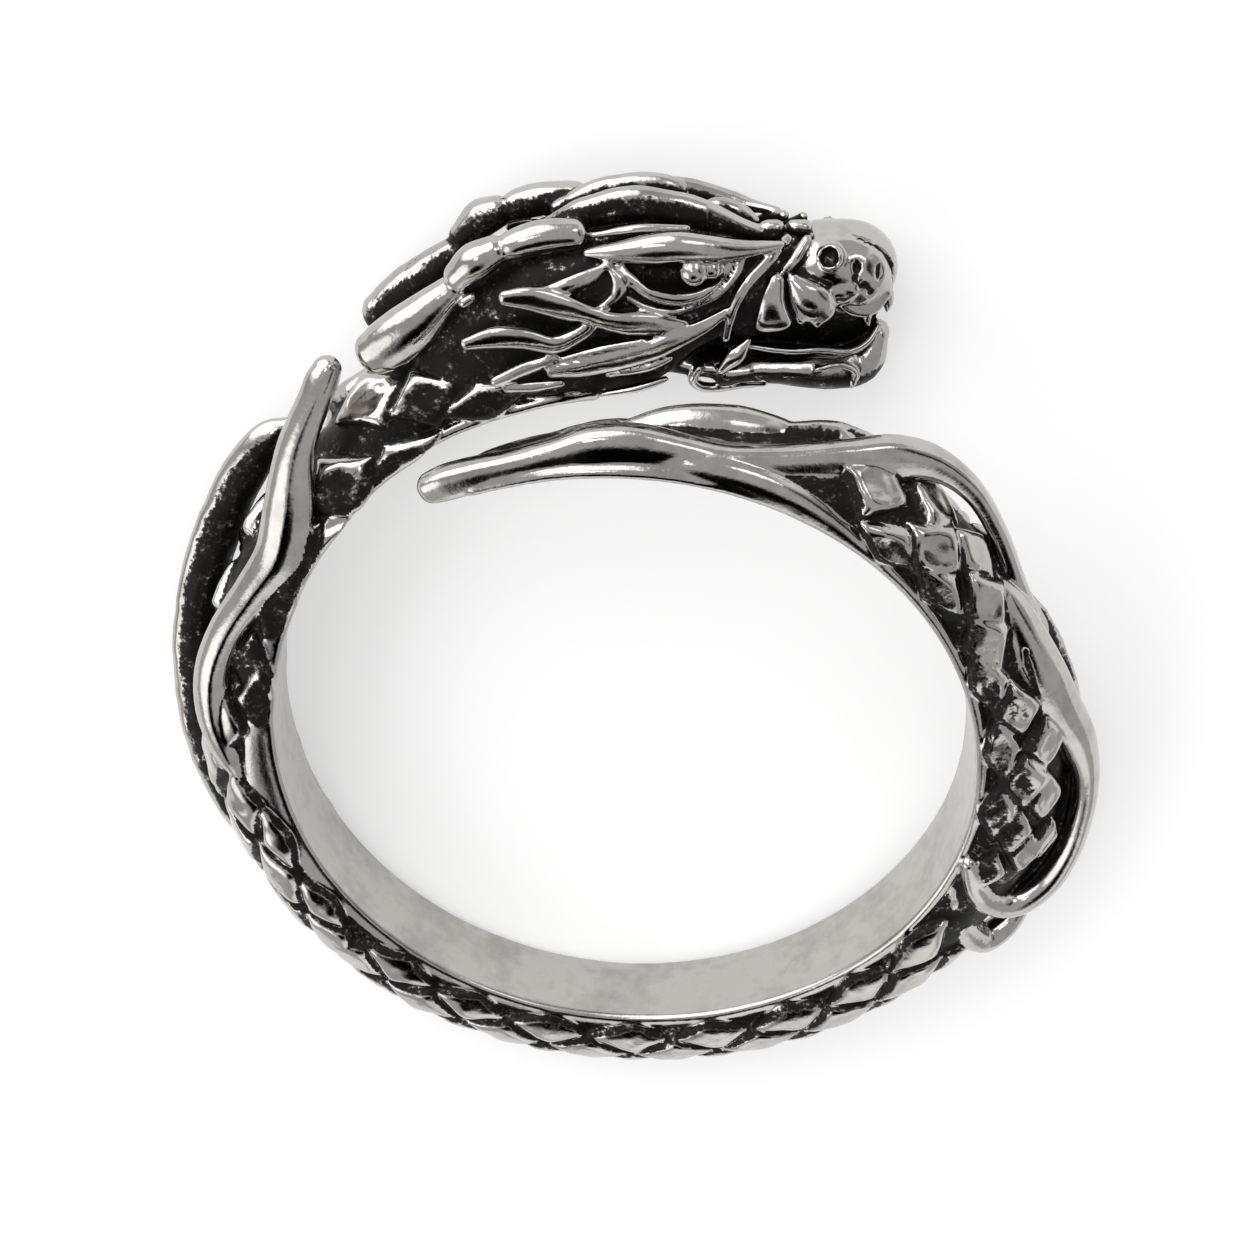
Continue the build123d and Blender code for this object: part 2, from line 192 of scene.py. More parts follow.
def loft(sections, ends=None):
    """A closed mesh through sections of one number of points. Its two ends close on a point each, which is
    the section's middle where none is given."""
    if ends is None:
        ends = sections[0].mean(0), sections[-1].mean(0)
    count = len(sections[0])
    verts = np.vstack([*sections, *ends])
    quads = []
    for row in range(len(sections) - 1):
        for index in range(count):
            after = (index + 1) % count
            quads.append((row * count + index, row * count + after,
                          (row + 1) * count + after, (row + 1) * count + index))
    tail, tip = len(verts) - 2, len(verts) - 1
    last = (len(sections) - 1) * count
    for index in range(0, count, 2):
        middle, after = (index + 1) % count, (index + 2) % count
        quads.append((tail, after, middle, index))
        quads.append((tip, last + index, last + middle, last + after))
    return verts, quads


def outline(kind):
    """A closed outline one wide and one thick, broad along its first axis."""
    angle = np.linspace(0, 2 * np.pi, OUTLINE_POINTS, endpoint=False)
    x, y = np.cos(angle), np.sin(angle)
    if kind == LEAF:
        y = y * (1 - 0.35 * np.abs(x))
        x = np.sign(x) * np.abs(x) ** 0.8
    if kind == BEAN:
        x = np.sign(x) * np.abs(x) ** 0.7
        y = np.sign(y) * np.abs(y) ** 0.7
    return np.stack([x, y], 1) / 2


def sweep(points, broad, widths, thicks, leans, kind):
    """A closed mesh through one outline along a path. broad is the direction the outline is wide in."""
    shape = outline(kind)
    ways = np.gradient(points, axis=0)
    ways /= np.linalg.norm(ways, axis=1)[:, None]
    sections = []
    for point, way, side, width, thick, lean in zip(points, ways, broad, widths, thicks, leans):
        side = side - way * side.dot(way)
        side /= np.linalg.norm(side)
        other = np.cross(way, side)
        turned = side * cos(radians(lean)) + other * sin(radians(lean))
        crossed = other * cos(radians(lean)) - side * sin(radians(lean))
        sections.append(point + np.outer(shape[:, 0] * width, turned)
                        + np.outer(shape[:, 1] * thick, crossed))
    return loft(sections, (points[0], points[-1]))


def round_ends(rows, steps):
    """Adds rows that close a bar's ends with a round cap as long as half its thickness."""
    rows = smooth_rows(rows, steps)
    way_in = rows[0, :3] - rows[1, :3]
    way_out = rows[-1, :3] - rows[-2, :3]
    caps_in, caps_out = [], []
    for share in (0.35, 0.65, 0.85, 0.97):
        for row, way, caps in ((rows[0], way_in, caps_in), (rows[-1], way_out, caps_out)):
            cap = row.copy()
            reach = min(row[3], row[4]) / 2 * share
            cap[:3] += way / np.linalg.norm(way) * reach
            cap[3:5] *= (1 - share**2) ** 0.5
            caps.append(cap)
    return np.vstack(caps_in[::-1] + [rows] + caps_out)


def bar(rows, kind=OVAL, hand=1):
    """A bar on the head. Its width lies flat on the head's side, and hand -1 mirrors it."""
    rows = round_ends(rows, BAR_STEPS)
    points = rows[:, :3].copy()
    if hand < 0:
        points[:, 2] = 2 * HEAD_MIDDLE - points[:, 2]
    ways = np.gradient(points, axis=0)
    broad = np.cross((0, 0, 1), ways)
    return sweep(points, broad, rows[:, 3], rows[:, 4], np.zeros(len(rows)), kind)


def rib(rows, kind=OVAL):
    """A rib on the hoop."""
    turned = []
    for turn, radius, z, width, thick, lean in smooth_rows(rows, RIB_STEPS):
        point = outward(turn) * radius + np.array([0, 0, z])
        turned.append([*point, width, thick, lean, turn])
    turned = round_ends(turned, 1)
    broad = np.array([outward(turn) for turn in turned[:, 6]])
    return sweep(turned[:, :3], broad, turned[:, 3], turned[:, 4], turned[:, 5], kind)


def arc_size(height, width):
    """Rise and radius of the arc over a section of this height and width."""
    rise = min(ARC_HEIGHT * height, ARC_WIDTH * width)
    return rise, (width**2 / 4 + rise**2) / (2 * rise)


def dome_row(floor, crown, width):
    """Points of a section that stands on a flat foot, with upright sides and an arc over them."""
    rise, radius = arc_size(crown - floor, width)
    reach = np.arcsin(min(width / 2 / radius, 1))
    if rise > radius:
        reach = np.pi - reach
    angle = np.linspace(-reach, reach, ARC_POINTS)
    over = np.stack([crown - radius + radius * np.cos(angle), radius * np.sin(angle)], 1)
    side = np.linspace(crown - rise, floor, SIDE_POINTS, endpoint=False)[1:]
    half = width * FOOT_WIDTH
    right = [(level, width / 2 - (width / 2 - half) * (crown - rise - level) / (crown - rise - floor))
             for level in side]
    left = [(level, -offset) for level, offset in right[::-1]]
    return np.vstack([over, right, [(floor, half), (floor, -half)], left])


def hoop_mesh():
    sections = []
    for turn, depth, width in smooth_rows(HOOP, HOOP_STEPS):
        crown = BORE_RADIUS + depth * HOOP_DEPTH - SUNK
        section = dome_row(BORE_RADIUS - RIM, crown, width * HOOP_WIDTH - SUNK)
        points = np.outer(section[:, 0], outward(turn))
        points[:, 2] = hoop_middle(turn) + section[:, 1]
        sections.append(points)
    return loft(sections)


SKULL = [  # x, floor, crown, width
    (-5.2, 10.1, 11.5, 2.3),
    (-3.5, 9.9, 13.0, 3.0),
    (-1.7, 9.8, 13.9, 3.5),
    (0.5, 9.9, 14.2, 3.6),
    (2.3, 11.2, 14.0, 3.3),
    (4.0, 11.6, 13.5, 2.6),
    (4.9, 11.5, 13.4, 2.0),
    (5.8, 11.7, 13.2, 1.8),
]


def skull_mesh():
    sections = []
    for x, floor, crown, width in smooth_rows(SKULL, SKULL_STEPS):
        section = dome_row(floor, crown, width)
        along = np.full(len(section), x)
        sections.append(np.stack([along, section[:, 0], HEAD_MIDDLE + section[:, 1]], 1))
    return loft(sections)


def ball(x, y, z, radius, stretch=(1, 1, 1)):
    """A closed ball, or an egg where it is stretched."""
    sections = []
    pole = np.pi / 2 * POLE_GAP
    angle = np.linspace(0, 2 * np.pi, 2 * BALL_ROWS, endpoint=False)
    for up in np.linspace(-pole, pole, BALL_ROWS):
        ring = np.stack([np.cos(angle) * cos(up), np.sin(angle) * cos(up), np.full(len(angle), sin(up))], 1)
        sections.append(ring * radius * np.array(stretch) + np.array([x, y, z]))
    return loft(sections)


class Values:
    """A value in a node tree, with the arithmetic that the shapes and finishes use."""

    def __init__(self, tree, socket):
        self.tree, self.socket = tree, socket

    def maths(self, operation, other=None, swap=False):
        made = self.tree.nodes.new("ShaderNodeMath")
        made.operation = operation
        inputs = [self] if other is None else [self, other]
        if swap:
            inputs.reverse()
        for socket, value in zip(made.inputs, inputs):
            connect(self.tree, socket, value)
        return Values(self.tree, made.outputs[0])

    def __add__(self, other):
        return self.maths("ADD", other)

    def __sub__(self, other):
        return self.maths("SUBTRACT", other)

    def __rsub__(self, other):
        return self.maths("SUBTRACT", other, swap=True)

    def __mul__(self, other):
        return self.maths("MULTIPLY", other)

    def __pow__(self, other):
        return self.maths("POWER", other)

    def size(self):
        return self.maths("ABSOLUTE")

    __radd__ = __add__
    __rmul__ = __mul__


def connect(tree, socket, value):
    if isinstance(value, Values):
        tree.links.new(value.socket, socket)
    else:
        socket.default_value = value


def node(tree, kind, settings=(), sockets=(), output=0):
    """Adds a node: its settings first, then the values or links of its sockets."""
    made = tree.nodes.new(kind)
    for name, value in dict(settings).items():
        if name == "stops":
            ramp = made.color_ramp
            while len(ramp.elements) < len(value):
                ramp.elements.new(0.5)
            for element, (at, colour) in zip(ramp.elements, value):
                element.position, element.color = at, colour
        else:
            setattr(made, name, value)
    for name, value in dict(sockets).items():
        connect(tree, made.inputs[name], value)
    return Values(tree, made.outputs[output])


def scale_tree(metal):
    """The tree that sets a cushioned diamond scale on each of its points. A point's own attributes turn the
    scale and size it."""
    tree = bpy.data.node_groups.new("body scales", "GeometryNodeTree")
    tree.interface.new_socket("Geometry", in_out="INPUT", socket_type="NodeSocketGeometry")
    for name, value in (("Flatness", 2.9), ("Dish Depth", 0.18), ("Dish Edge", 0.8), ("Shingle", 0.2),
                        ("Root Depth", 1.6), ("Unevenness", 0.05), ("Raggedness", 0.03)):
        socket = tree.interface.new_socket(name, in_out="INPUT", socket_type="NodeSocketFloat")
        socket.default_value = value
    tree.interface.new_socket("Seed", in_out="INPUT", socket_type="NodeSocketInt").default_value = 4
    tree.interface.new_socket("Geometry", in_out="OUTPUT", socket_type="NodeSocketGeometry")
    entry = tree.nodes.new("NodeGroupInput")
    given = {socket.name: Values(tree, socket) for socket in entry.outputs}

    block = node(tree, "GeometryNodeMeshCube", {}, {"Size": (1, 1, 1), "Vertices X": 17, "Vertices Y": 17,
                                                    "Vertices Z": 2})
    place = node(tree, "GeometryNodeInputPosition")
    split = node(tree, "ShaderNodeSeparateXYZ", {}, {0: place})
    x, y, z = (Values(tree, socket) for socket in split.socket.node.outputs)
    edge_x = 1 - (x * 2).size() ** given["Flatness"]
    edge_y = 1 - (y * 2).size() ** given["Flatness"]
    cushion = (edge_x * edge_y + 0.0001) ** 0.45
    dish = node(tree, "ShaderNodeMapRange", {"interpolation_type": "SMOOTHSTEP"}, {
        "Value": cushion, "From Min": given["Dish Edge"], "From Max": 1.0, "To Min": 0.0, "To Max": 1.0})
    along = (x + y) * 0.5
    top = cushion - dish * given["Dish Depth"] + along * given["Shingle"] * 2 * cushion
    lift = (z + 0.5) * top - (0.5 - z) * given["Root Depth"]
    shaped = node(tree, "ShaderNodeCombineXYZ", {}, {"X": along, "Y": (y - x) * 0.5, "Z": lift})
    scale = node(tree, "GeometryNodeSetPosition", {}, {"Geometry": block, "Position": shaped})

    def own(name, kind="FLOAT"):
        return node(tree, "GeometryNodeInputNamedAttribute", {"data_type": kind}, {"Name": name})

    facing = node(tree, "FunctionNodeAxesToRotation", {"primary_axis": "Z", "secondary_axis": "X"}, {
        "Primary Axis": own("facing", "FLOAT_VECTOR"), "Secondary Axis": own("way", "FLOAT_VECTOR")})
    uneven = node(tree, "FunctionNodeRandomValue", {"data_type": "FLOAT"}, {"Seed": given["Seed"]}, output=1)
    uneven = 1 + (uneven - 0.5) * 2 * given["Unevenness"]
    size = node(tree, "ShaderNodeCombineXYZ", {}, {"X": own("long") * uneven, "Y": own("wide"),
                                                   "Z": own("rise") * uneven})
    placed = node(tree, "GeometryNodeInstanceOnPoints", {}, {
        "Points": given["Geometry"], "Instance": scale, "Rotation": facing, "Scale": size})
    real = node(tree, "GeometryNodeRealizeInstances", {}, {"Geometry": placed})
    ragged = node(tree, "ShaderNodeTexNoise", {}, {"Vector": place, "Scale": 1.3, "Detail": 2.0}, output=1)
    push = node(tree, "ShaderNodeVectorMath", {"operation": "MULTIPLY_ADD"}, {
        0: ragged, 1: given["Raggedness"] * 4, 2: given["Raggedness"] * -2})
    real = node(tree, "GeometryNodeSetPosition", {}, {"Geometry": real, "Offset": push})
    done = node(tree, "GeometryNodeSetMaterial", {}, {"Geometry": real, "Material": metal})
    connect(tree, tree.nodes.new("NodeGroupOutput").inputs[0], done)
    return tree


def seat(turn, lean):
    """Where a scale sits on the hoop and which way it faces. lean is degrees round the hoop's section from
    straight out towards +Z; past 90 the seat goes down the section's upright side."""
    depth, width = hoop_size(turn)
    depth, width = depth - SUNK, width - SUNK
    _, radius = arc_size(depth + RIM, width)
    side = 1 if lean > 0 else -1
    over = radians(min(abs(lean), 90) * side)
    down = radius * radians(max(abs(lean) - 90, 0))
    out = BORE_RADIUS + depth - radius + radius * cos(over) - down
    point = outward(turn) * out
    point[2] = hoop_middle(turn) + radius * sin(over)
    return point, outward(turn) * cos(over) + np.array([0, 0, sin(over)])


def scales_mesh(tree, scales, sizes):
    """The scales' points go through the tree, and its plain mesh comes back. sizes are the tree's named
    inputs that these scales change."""
    base = bpy.data.meshes.new("scale points")
    seats = [seat(scale.turn, scale.lean) for scale in scales]
    base.from_pydata([tuple(point) for point, _ in seats], [], [])
    ways = [forward(scale.turn) for scale in scales]
    for name, rows in (("facing", [normal for _, normal in seats]), ("way", ways)):
        base.attributes.new(name, "FLOAT_VECTOR", "POINT").data.foreach_set("vector", np.ravel(rows))
    for name in ("long", "wide", "rise"):
        values = np.array([getattr(scale, name) for scale in scales])
        base.attributes.new(name, "FLOAT", "POINT").data.foreach_set("value", values)
    holder = bpy.data.objects.new("scale points", base)
    bpy.context.scene.collection.objects.link(holder)
    modifier = holder.modifiers.new("scales", "NODES")
    modifier.node_group = tree
    sockets = {item.name: item.identifier for item in tree.interface.items_tree if item.in_out == "INPUT"}
    for name, value in sizes.items():
        modifier[sockets[name]] = value
    graph = bpy.context.evaluated_depsgraph_get()
    made = bpy.data.meshes.new_from_object(holder.evaluated_get(graph))
    points = np.empty(len(made.vertices) * 3)
    made.vertices.foreach_get("co", points)
    corners = np.empty(len(made.loops), np.int32)
    made.loops.foreach_get("vertex_index", corners)
    bpy.data.objects.remove(holder)
    bpy.data.meshes.remove(made)
    return points.reshape(-1, 3), corners.reshape(-1, 4)


def silver():
    """Blackened silver, bright where the wheel has polished it. The skin's own two attributes, for polish and
    for satin, say where that is and where the finger has dulled it. The polish one also carries a thin dark
    line of painted shade beside the finger wall."""
    material = bpy.data.materials.new("oxidised silver")
    material.use_nodes = True
    tree = material.node_tree
    shader = tree.nodes["Principled BSDF"]
    where = node(tree, "ShaderNodeTexCoord", output="Object")

    def noise(scale, detail, roughness):
        return node(tree, "ShaderNodeTexNoise", {}, {
            "Vector": where, "Scale": scale, "Detail": detail, "Roughness": roughness})

    fine = noise(9000.0, 3.0, 0.6)
    patch = noise(2200.0, 3.0, 0.6)
    cloud = noise(500.0, 2.0, 0.5)
    # The polish attribute also carries the thin dark line of painted shade beside the finger wall
    rubbed = node(tree, "ShaderNodeAttribute", {"attribute_name": "rubbed"}, output="Fac")
    satin = node(tree, "ShaderNodeAttribute", {"attribute_name": "satin"}, output="Fac")
    worn_and_shaded = rubbed + (fine - 0.5) * 0.3 + (patch - 0.5) * 0.3
    bright = node(tree, "ShaderNodeMapRange", {"interpolation_type": "SMOOTHSTEP"}, {
        "Value": worn_and_shaded, "From Min": 0.0, "From Max": 0.12})
    ramp = node(tree, "ShaderNodeValToRGB", {"stops": (
        (0.0, (0.008, 0.0071, 0.0065, 1)), (0.35, (0.034, 0.029, 0.025, 1)),
        (0.7, (0.18, 0.165, 0.150, 1)), (1.0, (0.50, 0.477, 0.455, 1)))}, {"Fac": bright})
    mottled = node(tree, "ShaderNodeMapRange", {}, {
        "Value": cloud * 0.6 + patch * 0.4, "From Min": 0.35, "From Max": 0.55,
        "To Min": 0.76, "To Max": 1.0})
    tinted = node(tree, "ShaderNodeMix", {"data_type": "RGBA", "blend_type": "MULTIPLY"}, {
        0: 1.0, 6: ramp, 7: mottled}, output=2)
    smooth = node(tree, "ShaderNodeMapRange", {}, {"Value": bright, "To Min": 0.45, "To Max": 0.11})
    metallic = node(tree, "ShaderNodeMapRange", {}, {"Value": bright, "To Min": 0.35, "To Max": 1.0})
    bump = node(tree, "ShaderNodeBump", {}, {
        "Height": fine + patch * 2, "Strength": 0.12, "Distance": 0.00003})
    for name, value in (("Base Color", tinted), ("Roughness", smooth + (cloud - 0.5) * 0.15 + satin * 0.14),
                        ("Metallic", metallic), ("Normal", bump), ("Specular IOR Level", 0.2)):
        connect(tree, shader.inputs[name], value)
    return material


def lattice(turns, leans, long, wide, rise):
    """Scales in rows that follow the hoop, each row half a scale on from the next."""
    scales = []
    for index, lean in enumerate(leans):
        for number, turn in enumerate(turns):
            step = (turns[min(number + 1, len(turns) - 1)] - turns[max(number - 1, 0)]) / 2
            if number in (0, len(turns) - 1):
                step *= 2
            at = turn + (step / 2 if index % 2 else 0)
            scales.append(Scale(at, lean, long, wide, rise))
    return scales


def full_scales(rows, rise, grown=1.13):
    """Scales from short rows of turn, lean, long and wide."""
    return [Scale(turn, lean, long * grown, wide * grown, rise) for turn, lean, long, wide in rows]


metal = silver()
add_form(hoop_mesh(), BLACK)
# The dark body that the ribbon and its cuffs lie on
CUFF_BED = [
    Rib(97, 11.90, 0.90, 0.60, 0.90),
    Rib(91, 12.10, 0.80, 1.20, 1.20),
    Rib(82, 12.20, 0.75, 1.40, 1.30),
    Rib(74, 12.10, 0.75, 1.40, 1.30),
    Rib(68, 11.60, 0.90, 1.40, 1.20),
    Rib(62, 11.30, 0.95, 1.20, 1.10),
]
add_form(rib(CUFF_BED), BLACK, 0.2)

# The body's scales. Those that the photograph shows one by one have a short row each: turn, lean, long, wide.
RIGHT_FRONT = [
    (145, 40, 1.9, 1.5), (136.5, 16, 1.8, 1.45), (133.5, 62, 1.9, 1.5), (138.5, 89, 2.3, 1.0),
    (128.5, 90, 2.3, 1.0), (128.5, 32, 1.9, 1.15), (122.5, 60, 2.0, 1.25), (117.5, 84, 2.1, 1.2),
    (110.5, 104, 2.4, 1.05), (104.5, 82, 1.8, 1.3), (98, 109, 2.4, 1.05), (97.5, 57, 1.8, 1.25),
    (80, 46, 1.5, 1.0),
    (92, 86, 1.85, 1.4), (86, 116, 2.0, 1.15), (88.5, 60, 1.7, 1.1), (82.5, 92, 1.7, 1.15),
    (78.5, 70, 1.5, 1.0), (74, 100, 1.5, 1.0),
]
NECK_FRONT = [
    (-145, 36, 2.2, 1.6), (-152, 70, 2.1, 1.5), (-160, 98, 2.7, 1.0), (-143.5, 100, 2.6, 1.0),
    (-134, 70, 2.2, 1.7), (-133, 104, 2.0, 0.8), (-125.5, 102, 2.3, 0.85), (-121, 80, 2.3, 1.15),
    (-111.5, 92, 2.5, 1.3), (-102, 78, 1.7, 1.15), (-96, 98, 2.5, 1.25),
]
LOWER_LEFT = [
    (-70, 88, 2.6, 1.1), (-56, 90, 2.6, 1.2), (-91, 62, 2.5, 1.2), (-77, 62, 2.6, 1.3),
    (-63, 62, 2.6, 1.4), (-49.5, 62, 2.5, 1.4),
]
OUTER_LEFT = [
    (-84, 24, 2.6, 1.5), (-70, 24, 2.6, 1.5), (-56, 24, 2.6, 1.5),
    (-91, -14, 2.6, 1.5), (-77, -14, 2.6, 1.5), (-63, -14, 2.6, 1.5), (-49.5, -14, 2.5, 1.5),
    (-84, -52, 2.6, 1.5), (-70, -52, 2.6, 1.5), (-56, -52, 2.6, 1.5),
    (-77, -92, 2.6, 1.5), (-63, -92, 2.6, 1.5),
]
BOTTOM_TURNS = [55, 42, 29, 15.5, 2, -11.5, -25, -38.5]
BACK_TURNS = [147, 135, 123, 111, 99.5, 88.5, 78, 67]
NECK_TURNS = [-94, -106, -118, -130, -142, -154, -166]
LEFT_SIZES = {"Dish Depth": 0.04, "Shingle": 0.36}
BOTTOM_SIZES = {"Dish Depth": 0.05, "Shingle": 0.24}
TABLE_SIZES = {"Dish Depth": 0.03, "Shingle": 0.04}  # flatter, on the side that lies on the table
SCALE_BEDS = [
    Bed(MIXED, 0.04, full_scales(RIGHT_FRONT, 0.34), {}),
    Bed(0.385, 0.04, full_scales(NECK_FRONT, 0.25), {}),
    Bed(0.64, 0.03, full_scales(LOWER_LEFT, 0.32, 1.02), LEFT_SIZES),
    Bed(0.42, 0.04, full_scales(OUTER_LEFT, 0.3), LEFT_SIZES),
    Bed(0.64, 0.03, lattice(BOTTOM_TURNS, (98, 62), 2.72, 1.4, 0.32), BOTTOM_SIZES),
    Bed(0.42, 0.04, lattice(BOTTOM_TURNS, (24, -14), 2.82, 1.5, 0.30), BOTTOM_SIZES),
    Bed(0.42, 0.04, lattice(BOTTOM_TURNS, (-52, -92), 2.82, 1.5, 0.10), TABLE_SIZES),
    Bed(MIXED, 0.04, lattice(BACK_TURNS, (-22, -60, -98), 2.3, 1.5, 0.28), {}),
    Bed(MIXED, 0.04, lattice(NECK_TURNS, (-20, -58, -96), 2.3, 1.7, 0.28), {}),
]
diamonds = scale_tree(metal)
for finish, fillet, scales, sizes in SCALE_BEDS:
    add_form(scales_mesh(diamonds, scales, sizes), finish, fillet)

# The thin polished rims beside the finger wall, and the broad one on the near side's left
RIM_STEP = 6
RIM_THICK = 0.36
RIM_OUT = 0.45  # how far out from the hoop's middle, as a share of its width
THIN_RIM = 0.42
BROAD_RIM = [(-142, 0.42), (-125, 0.60), (-104, 0.80), (-92, 1.05), (-82, 1.25), (-68, 0.95), (-50, 0.72),
             (62, 0.60)]


def rim_rows(side, low, high, widths=((0, THIN_RIM),)):
    """A rim's rows from one turn to another. widths are pairs of a turn and the rim's width there."""
    rows = []
    for turn in np.arange(low, high, RIM_STEP):
        _, width = hoop_size(turn)
        wide = float(np.interp(turn, *zip(*widths)))
        z = hoop_middle(turn) + side * width * RIM_OUT
        rows.append(Rib(turn, BORE_RADIUS + wide / 3, z, wide, RIM_THICK))
    return rows


for side in (1, -1):
    add_form(rib(rim_rows(side, -176, 205)), POLISHED, 0.1)
add_form(rib(rim_rows(1, -142, 62, BROAD_RIM)), POLISHED, 0.12)

# The two leaf fins that run from behind the horns down the hoop's left side
NEAR_FIN = [
    Rib(-144, 12.85, -1.68, 0.78, 0.74, 5),
    Rib(-142.5, 12.68, -1.60, 0.90, 0.82, 5),
    Rib(-140, 12.40, -1.45, 0.90, 0.85, 8),
    Rib(-134, 11.82, -1.20, 1.05, 0.90, 8),
    Rib(-127, 10.98, -0.92, 1.35, 0.95, 8),
    Rib(-120, 10.52, -0.78, 1.35, 1.00, 8),
    Rib(-113, 10.72, -0.65, 1.10, 1.00, 5),
    Rib(-106, 11.08, -0.45, 1.02, 0.95, 0),
    Rib(-99, 11.28, -0.30, 1.00, 0.95, 0),
    Rib(-92, 11.22, -0.20, 0.95, 0.90, 0),
    Rib(-86, 10.95, -0.05, 0.80, 0.75, 0),
    Rib(-82.5, 10.80, 0.00, 0.45, 0.50, 0),
]
FAR_FIN = [
    Rib(-131, 11.85, -3.40, 0.45, 0.50, 0),
    Rib(-128, 12.02, -3.40, 1.00, 0.80, 0),
    Rib(-122, 12.05, -3.40, 1.25, 0.95, -8),
    Rib(-110, 12.02, -3.20, 1.35, 1.00, -15),
    Rib(-98, 12.05, -2.90, 1.35, 1.00, -15),
    Rib(-82, 12.05, -2.40, 1.30, 1.00, -10),
    Rib(-68, 11.90, -1.90, 1.10, 0.90, 0),
    Rib(-54, 11.45, -1.40, 0.50, 0.60, 0),
]
# The tail's blade, and the bright strip under it
TAIL_BLADE = [
    Rib(208.3, 9.97, 1.58, 0.80, 0.72),
    Rib(205.5, 9.93, 1.64, 0.95, 0.80),
    Rib(200, 9.86, 1.74, 0.98, 0.80),
    Rib(195, 9.84, 1.82, 1.00, 0.80),
    Rib(189, 9.88, 1.85, 1.15, 0.80),
    Rib(184, 9.98, 1.86, 1.42, 0.88),
    Rib(178, 10.00, 1.88, 1.48, 0.90),
    Rib(172, 9.95, 1.92, 1.32, 0.90),
    Rib(166, 9.95, 1.95, 1.20, 0.88),
    Rib(160, 10.12, 1.95, 1.35, 0.86),
    Rib(154, 10.50, 1.88, 1.50, 0.84),
    Rib(149, 11.05, 1.75, 1.55, 0.84),
    Rib(144.5, 11.75, 1.55, 1.35, 0.84),
    Rib(140, 12.24, 1.40, 0.85, 0.80),
    Rib(134, 12.36, 1.35, 0.60, 0.72),
    Rib(127, 12.12, 1.35, 0.52, 0.72),
    Rib(120, 11.80, 1.40, 0.55, 0.70),
    Rib(113, 11.75, 1.40, 0.45, 0.50),
]
TAIL_STRIP = [
    Rib(176, 9.85, 2.00, 0.50, 0.60),
    Rib(169, 9.90, 2.18, 0.85, 0.70),
    Rib(161, 9.92, 2.36, 0.95, 0.62),
    Rib(153, 9.88, 2.46, 0.85, 0.55),
    Rib(146, 9.80, 2.50, 0.62, 0.45),
    Rib(138, 9.72, 2.52, 0.42, 0.40),
    Rib(126, 9.68, 2.52, 0.34, 0.36),
    Rib(112, 9.66, 2.50, 0.28, 0.32),
]
# A leaf behind the ribbon on the right
FAR_LEAF = [
    Rib(116, 11.75, 0.70, 0.30, 0.40),
    Rib(110, 11.82, 0.60, 0.70, 0.70),
    Rib(103, 12.00, 0.55, 0.85, 0.80),
    Rib(96, 12.22, 0.52, 0.75, 0.70),
    Rib(90, 12.42, 0.55, 0.35, 0.40),
]
# The ribbon down the right side, which curls under, and the cuff beneath it
RIBBON = [
    Rib(123, 11.45, 1.65, 0.35, 0.50),
    Rib(118.5, 11.46, 1.88, 0.85, 0.95),
    Rib(113, 11.42, 1.98, 1.25, 1.20),
    Rib(107, 11.50, 2.00, 1.48, 1.25),
    Rib(101, 11.76, 1.92, 1.40, 1.20),
    Rib(95, 12.28, 1.70, 1.10, 1.05),
    Rib(89, 12.65, 1.58, 0.78, 0.95),
    Rib(82, 12.78, 1.52, 0.72, 0.95),
    Rib(76, 12.78, 1.50, 0.74, 0.95),
    Rib(70.8, 12.60, 1.52, 0.82, 0.95),
    Rib(66.8, 12.05, 1.64, 0.90, 0.95),
    Rib(66.6, 11.30, 1.86, 0.88, 0.90),
    Rib(69.6, 10.52, 2.18, 0.76, 0.85),
    Rib(74.5, 9.92, 2.42, 0.52, 0.65),
]
CUFF = [
    Rib(68, 9.95, 2.00, 0.45, 0.55),
    Rib(62.5, 10.65, 1.80, 0.80, 0.80),
    Rib(58.6, 11.55, 1.45, 0.90, 0.85),
    Rib(58.0, 12.35, 1.10, 0.90, 0.85),
    Rib(61.5, 12.72, 0.85, 0.75, 0.80),
    Rib(66, 12.70, 0.75, 0.45, 0.60),
]
# What lies on the hoop, in the order in which it is joined; the last four are the tail's leaves
HOOP_FORMS = [
    Form(LEAF, POLISHED, 0.08, NEAR_FIN),
    Form(LEAF, 0.36, 0.08, FAR_FIN),
    Form(BEAN, POLISHED, 0.08, TAIL_BLADE),
    Form(OVAL, POLISHED, 0.08, TAIL_STRIP),
    Form(LEAF, 0.28, 0.08, FAR_LEAF),
    Form(OVAL, POLISHED, 0.08, RIBBON),
    Form(OVAL, POLISHED, 0.08, CUFF),
    Form(LEAF, 0.4, 0.05, [
        Rib(205, 9.78, 1.15, 0.25, 0.35), Rib(198, 9.86, 1.00, 0.45, 0.60),
        Rib(189, 9.90, 0.90, 0.35, 0.50)]),
    Form(LEAF, 0.4, 0.05, [
        Rib(192, 9.90, 1.05, 0.25, 0.35), Rib(184, 9.98, 0.88, 0.55, 0.80),
        Rib(174, 10.15, 0.85, 0.45, 0.60)]),
    Form(LEAF, 0.7, 0.05, [
        Rib(181, 10.10, 1.05, 0.25, 0.40), Rib(173, 10.38, 0.92, 0.80, 0.90),
        Rib(165, 10.58, 0.90, 1.05, 1.10), Rib(158, 10.70, 0.85, 0.85, 0.90),
        Rib(153, 10.75, 0.80, 0.40, 0.60)]),
    Form(LEAF, 0.3, 0.05, [
        Rib(160, 10.75, 1.05, 0.25, 0.40), Rib(151, 11.08, 0.75, 1.00, 0.95),
        Rib(141, 11.25, 0.55, 0.80, 0.80)]),
]
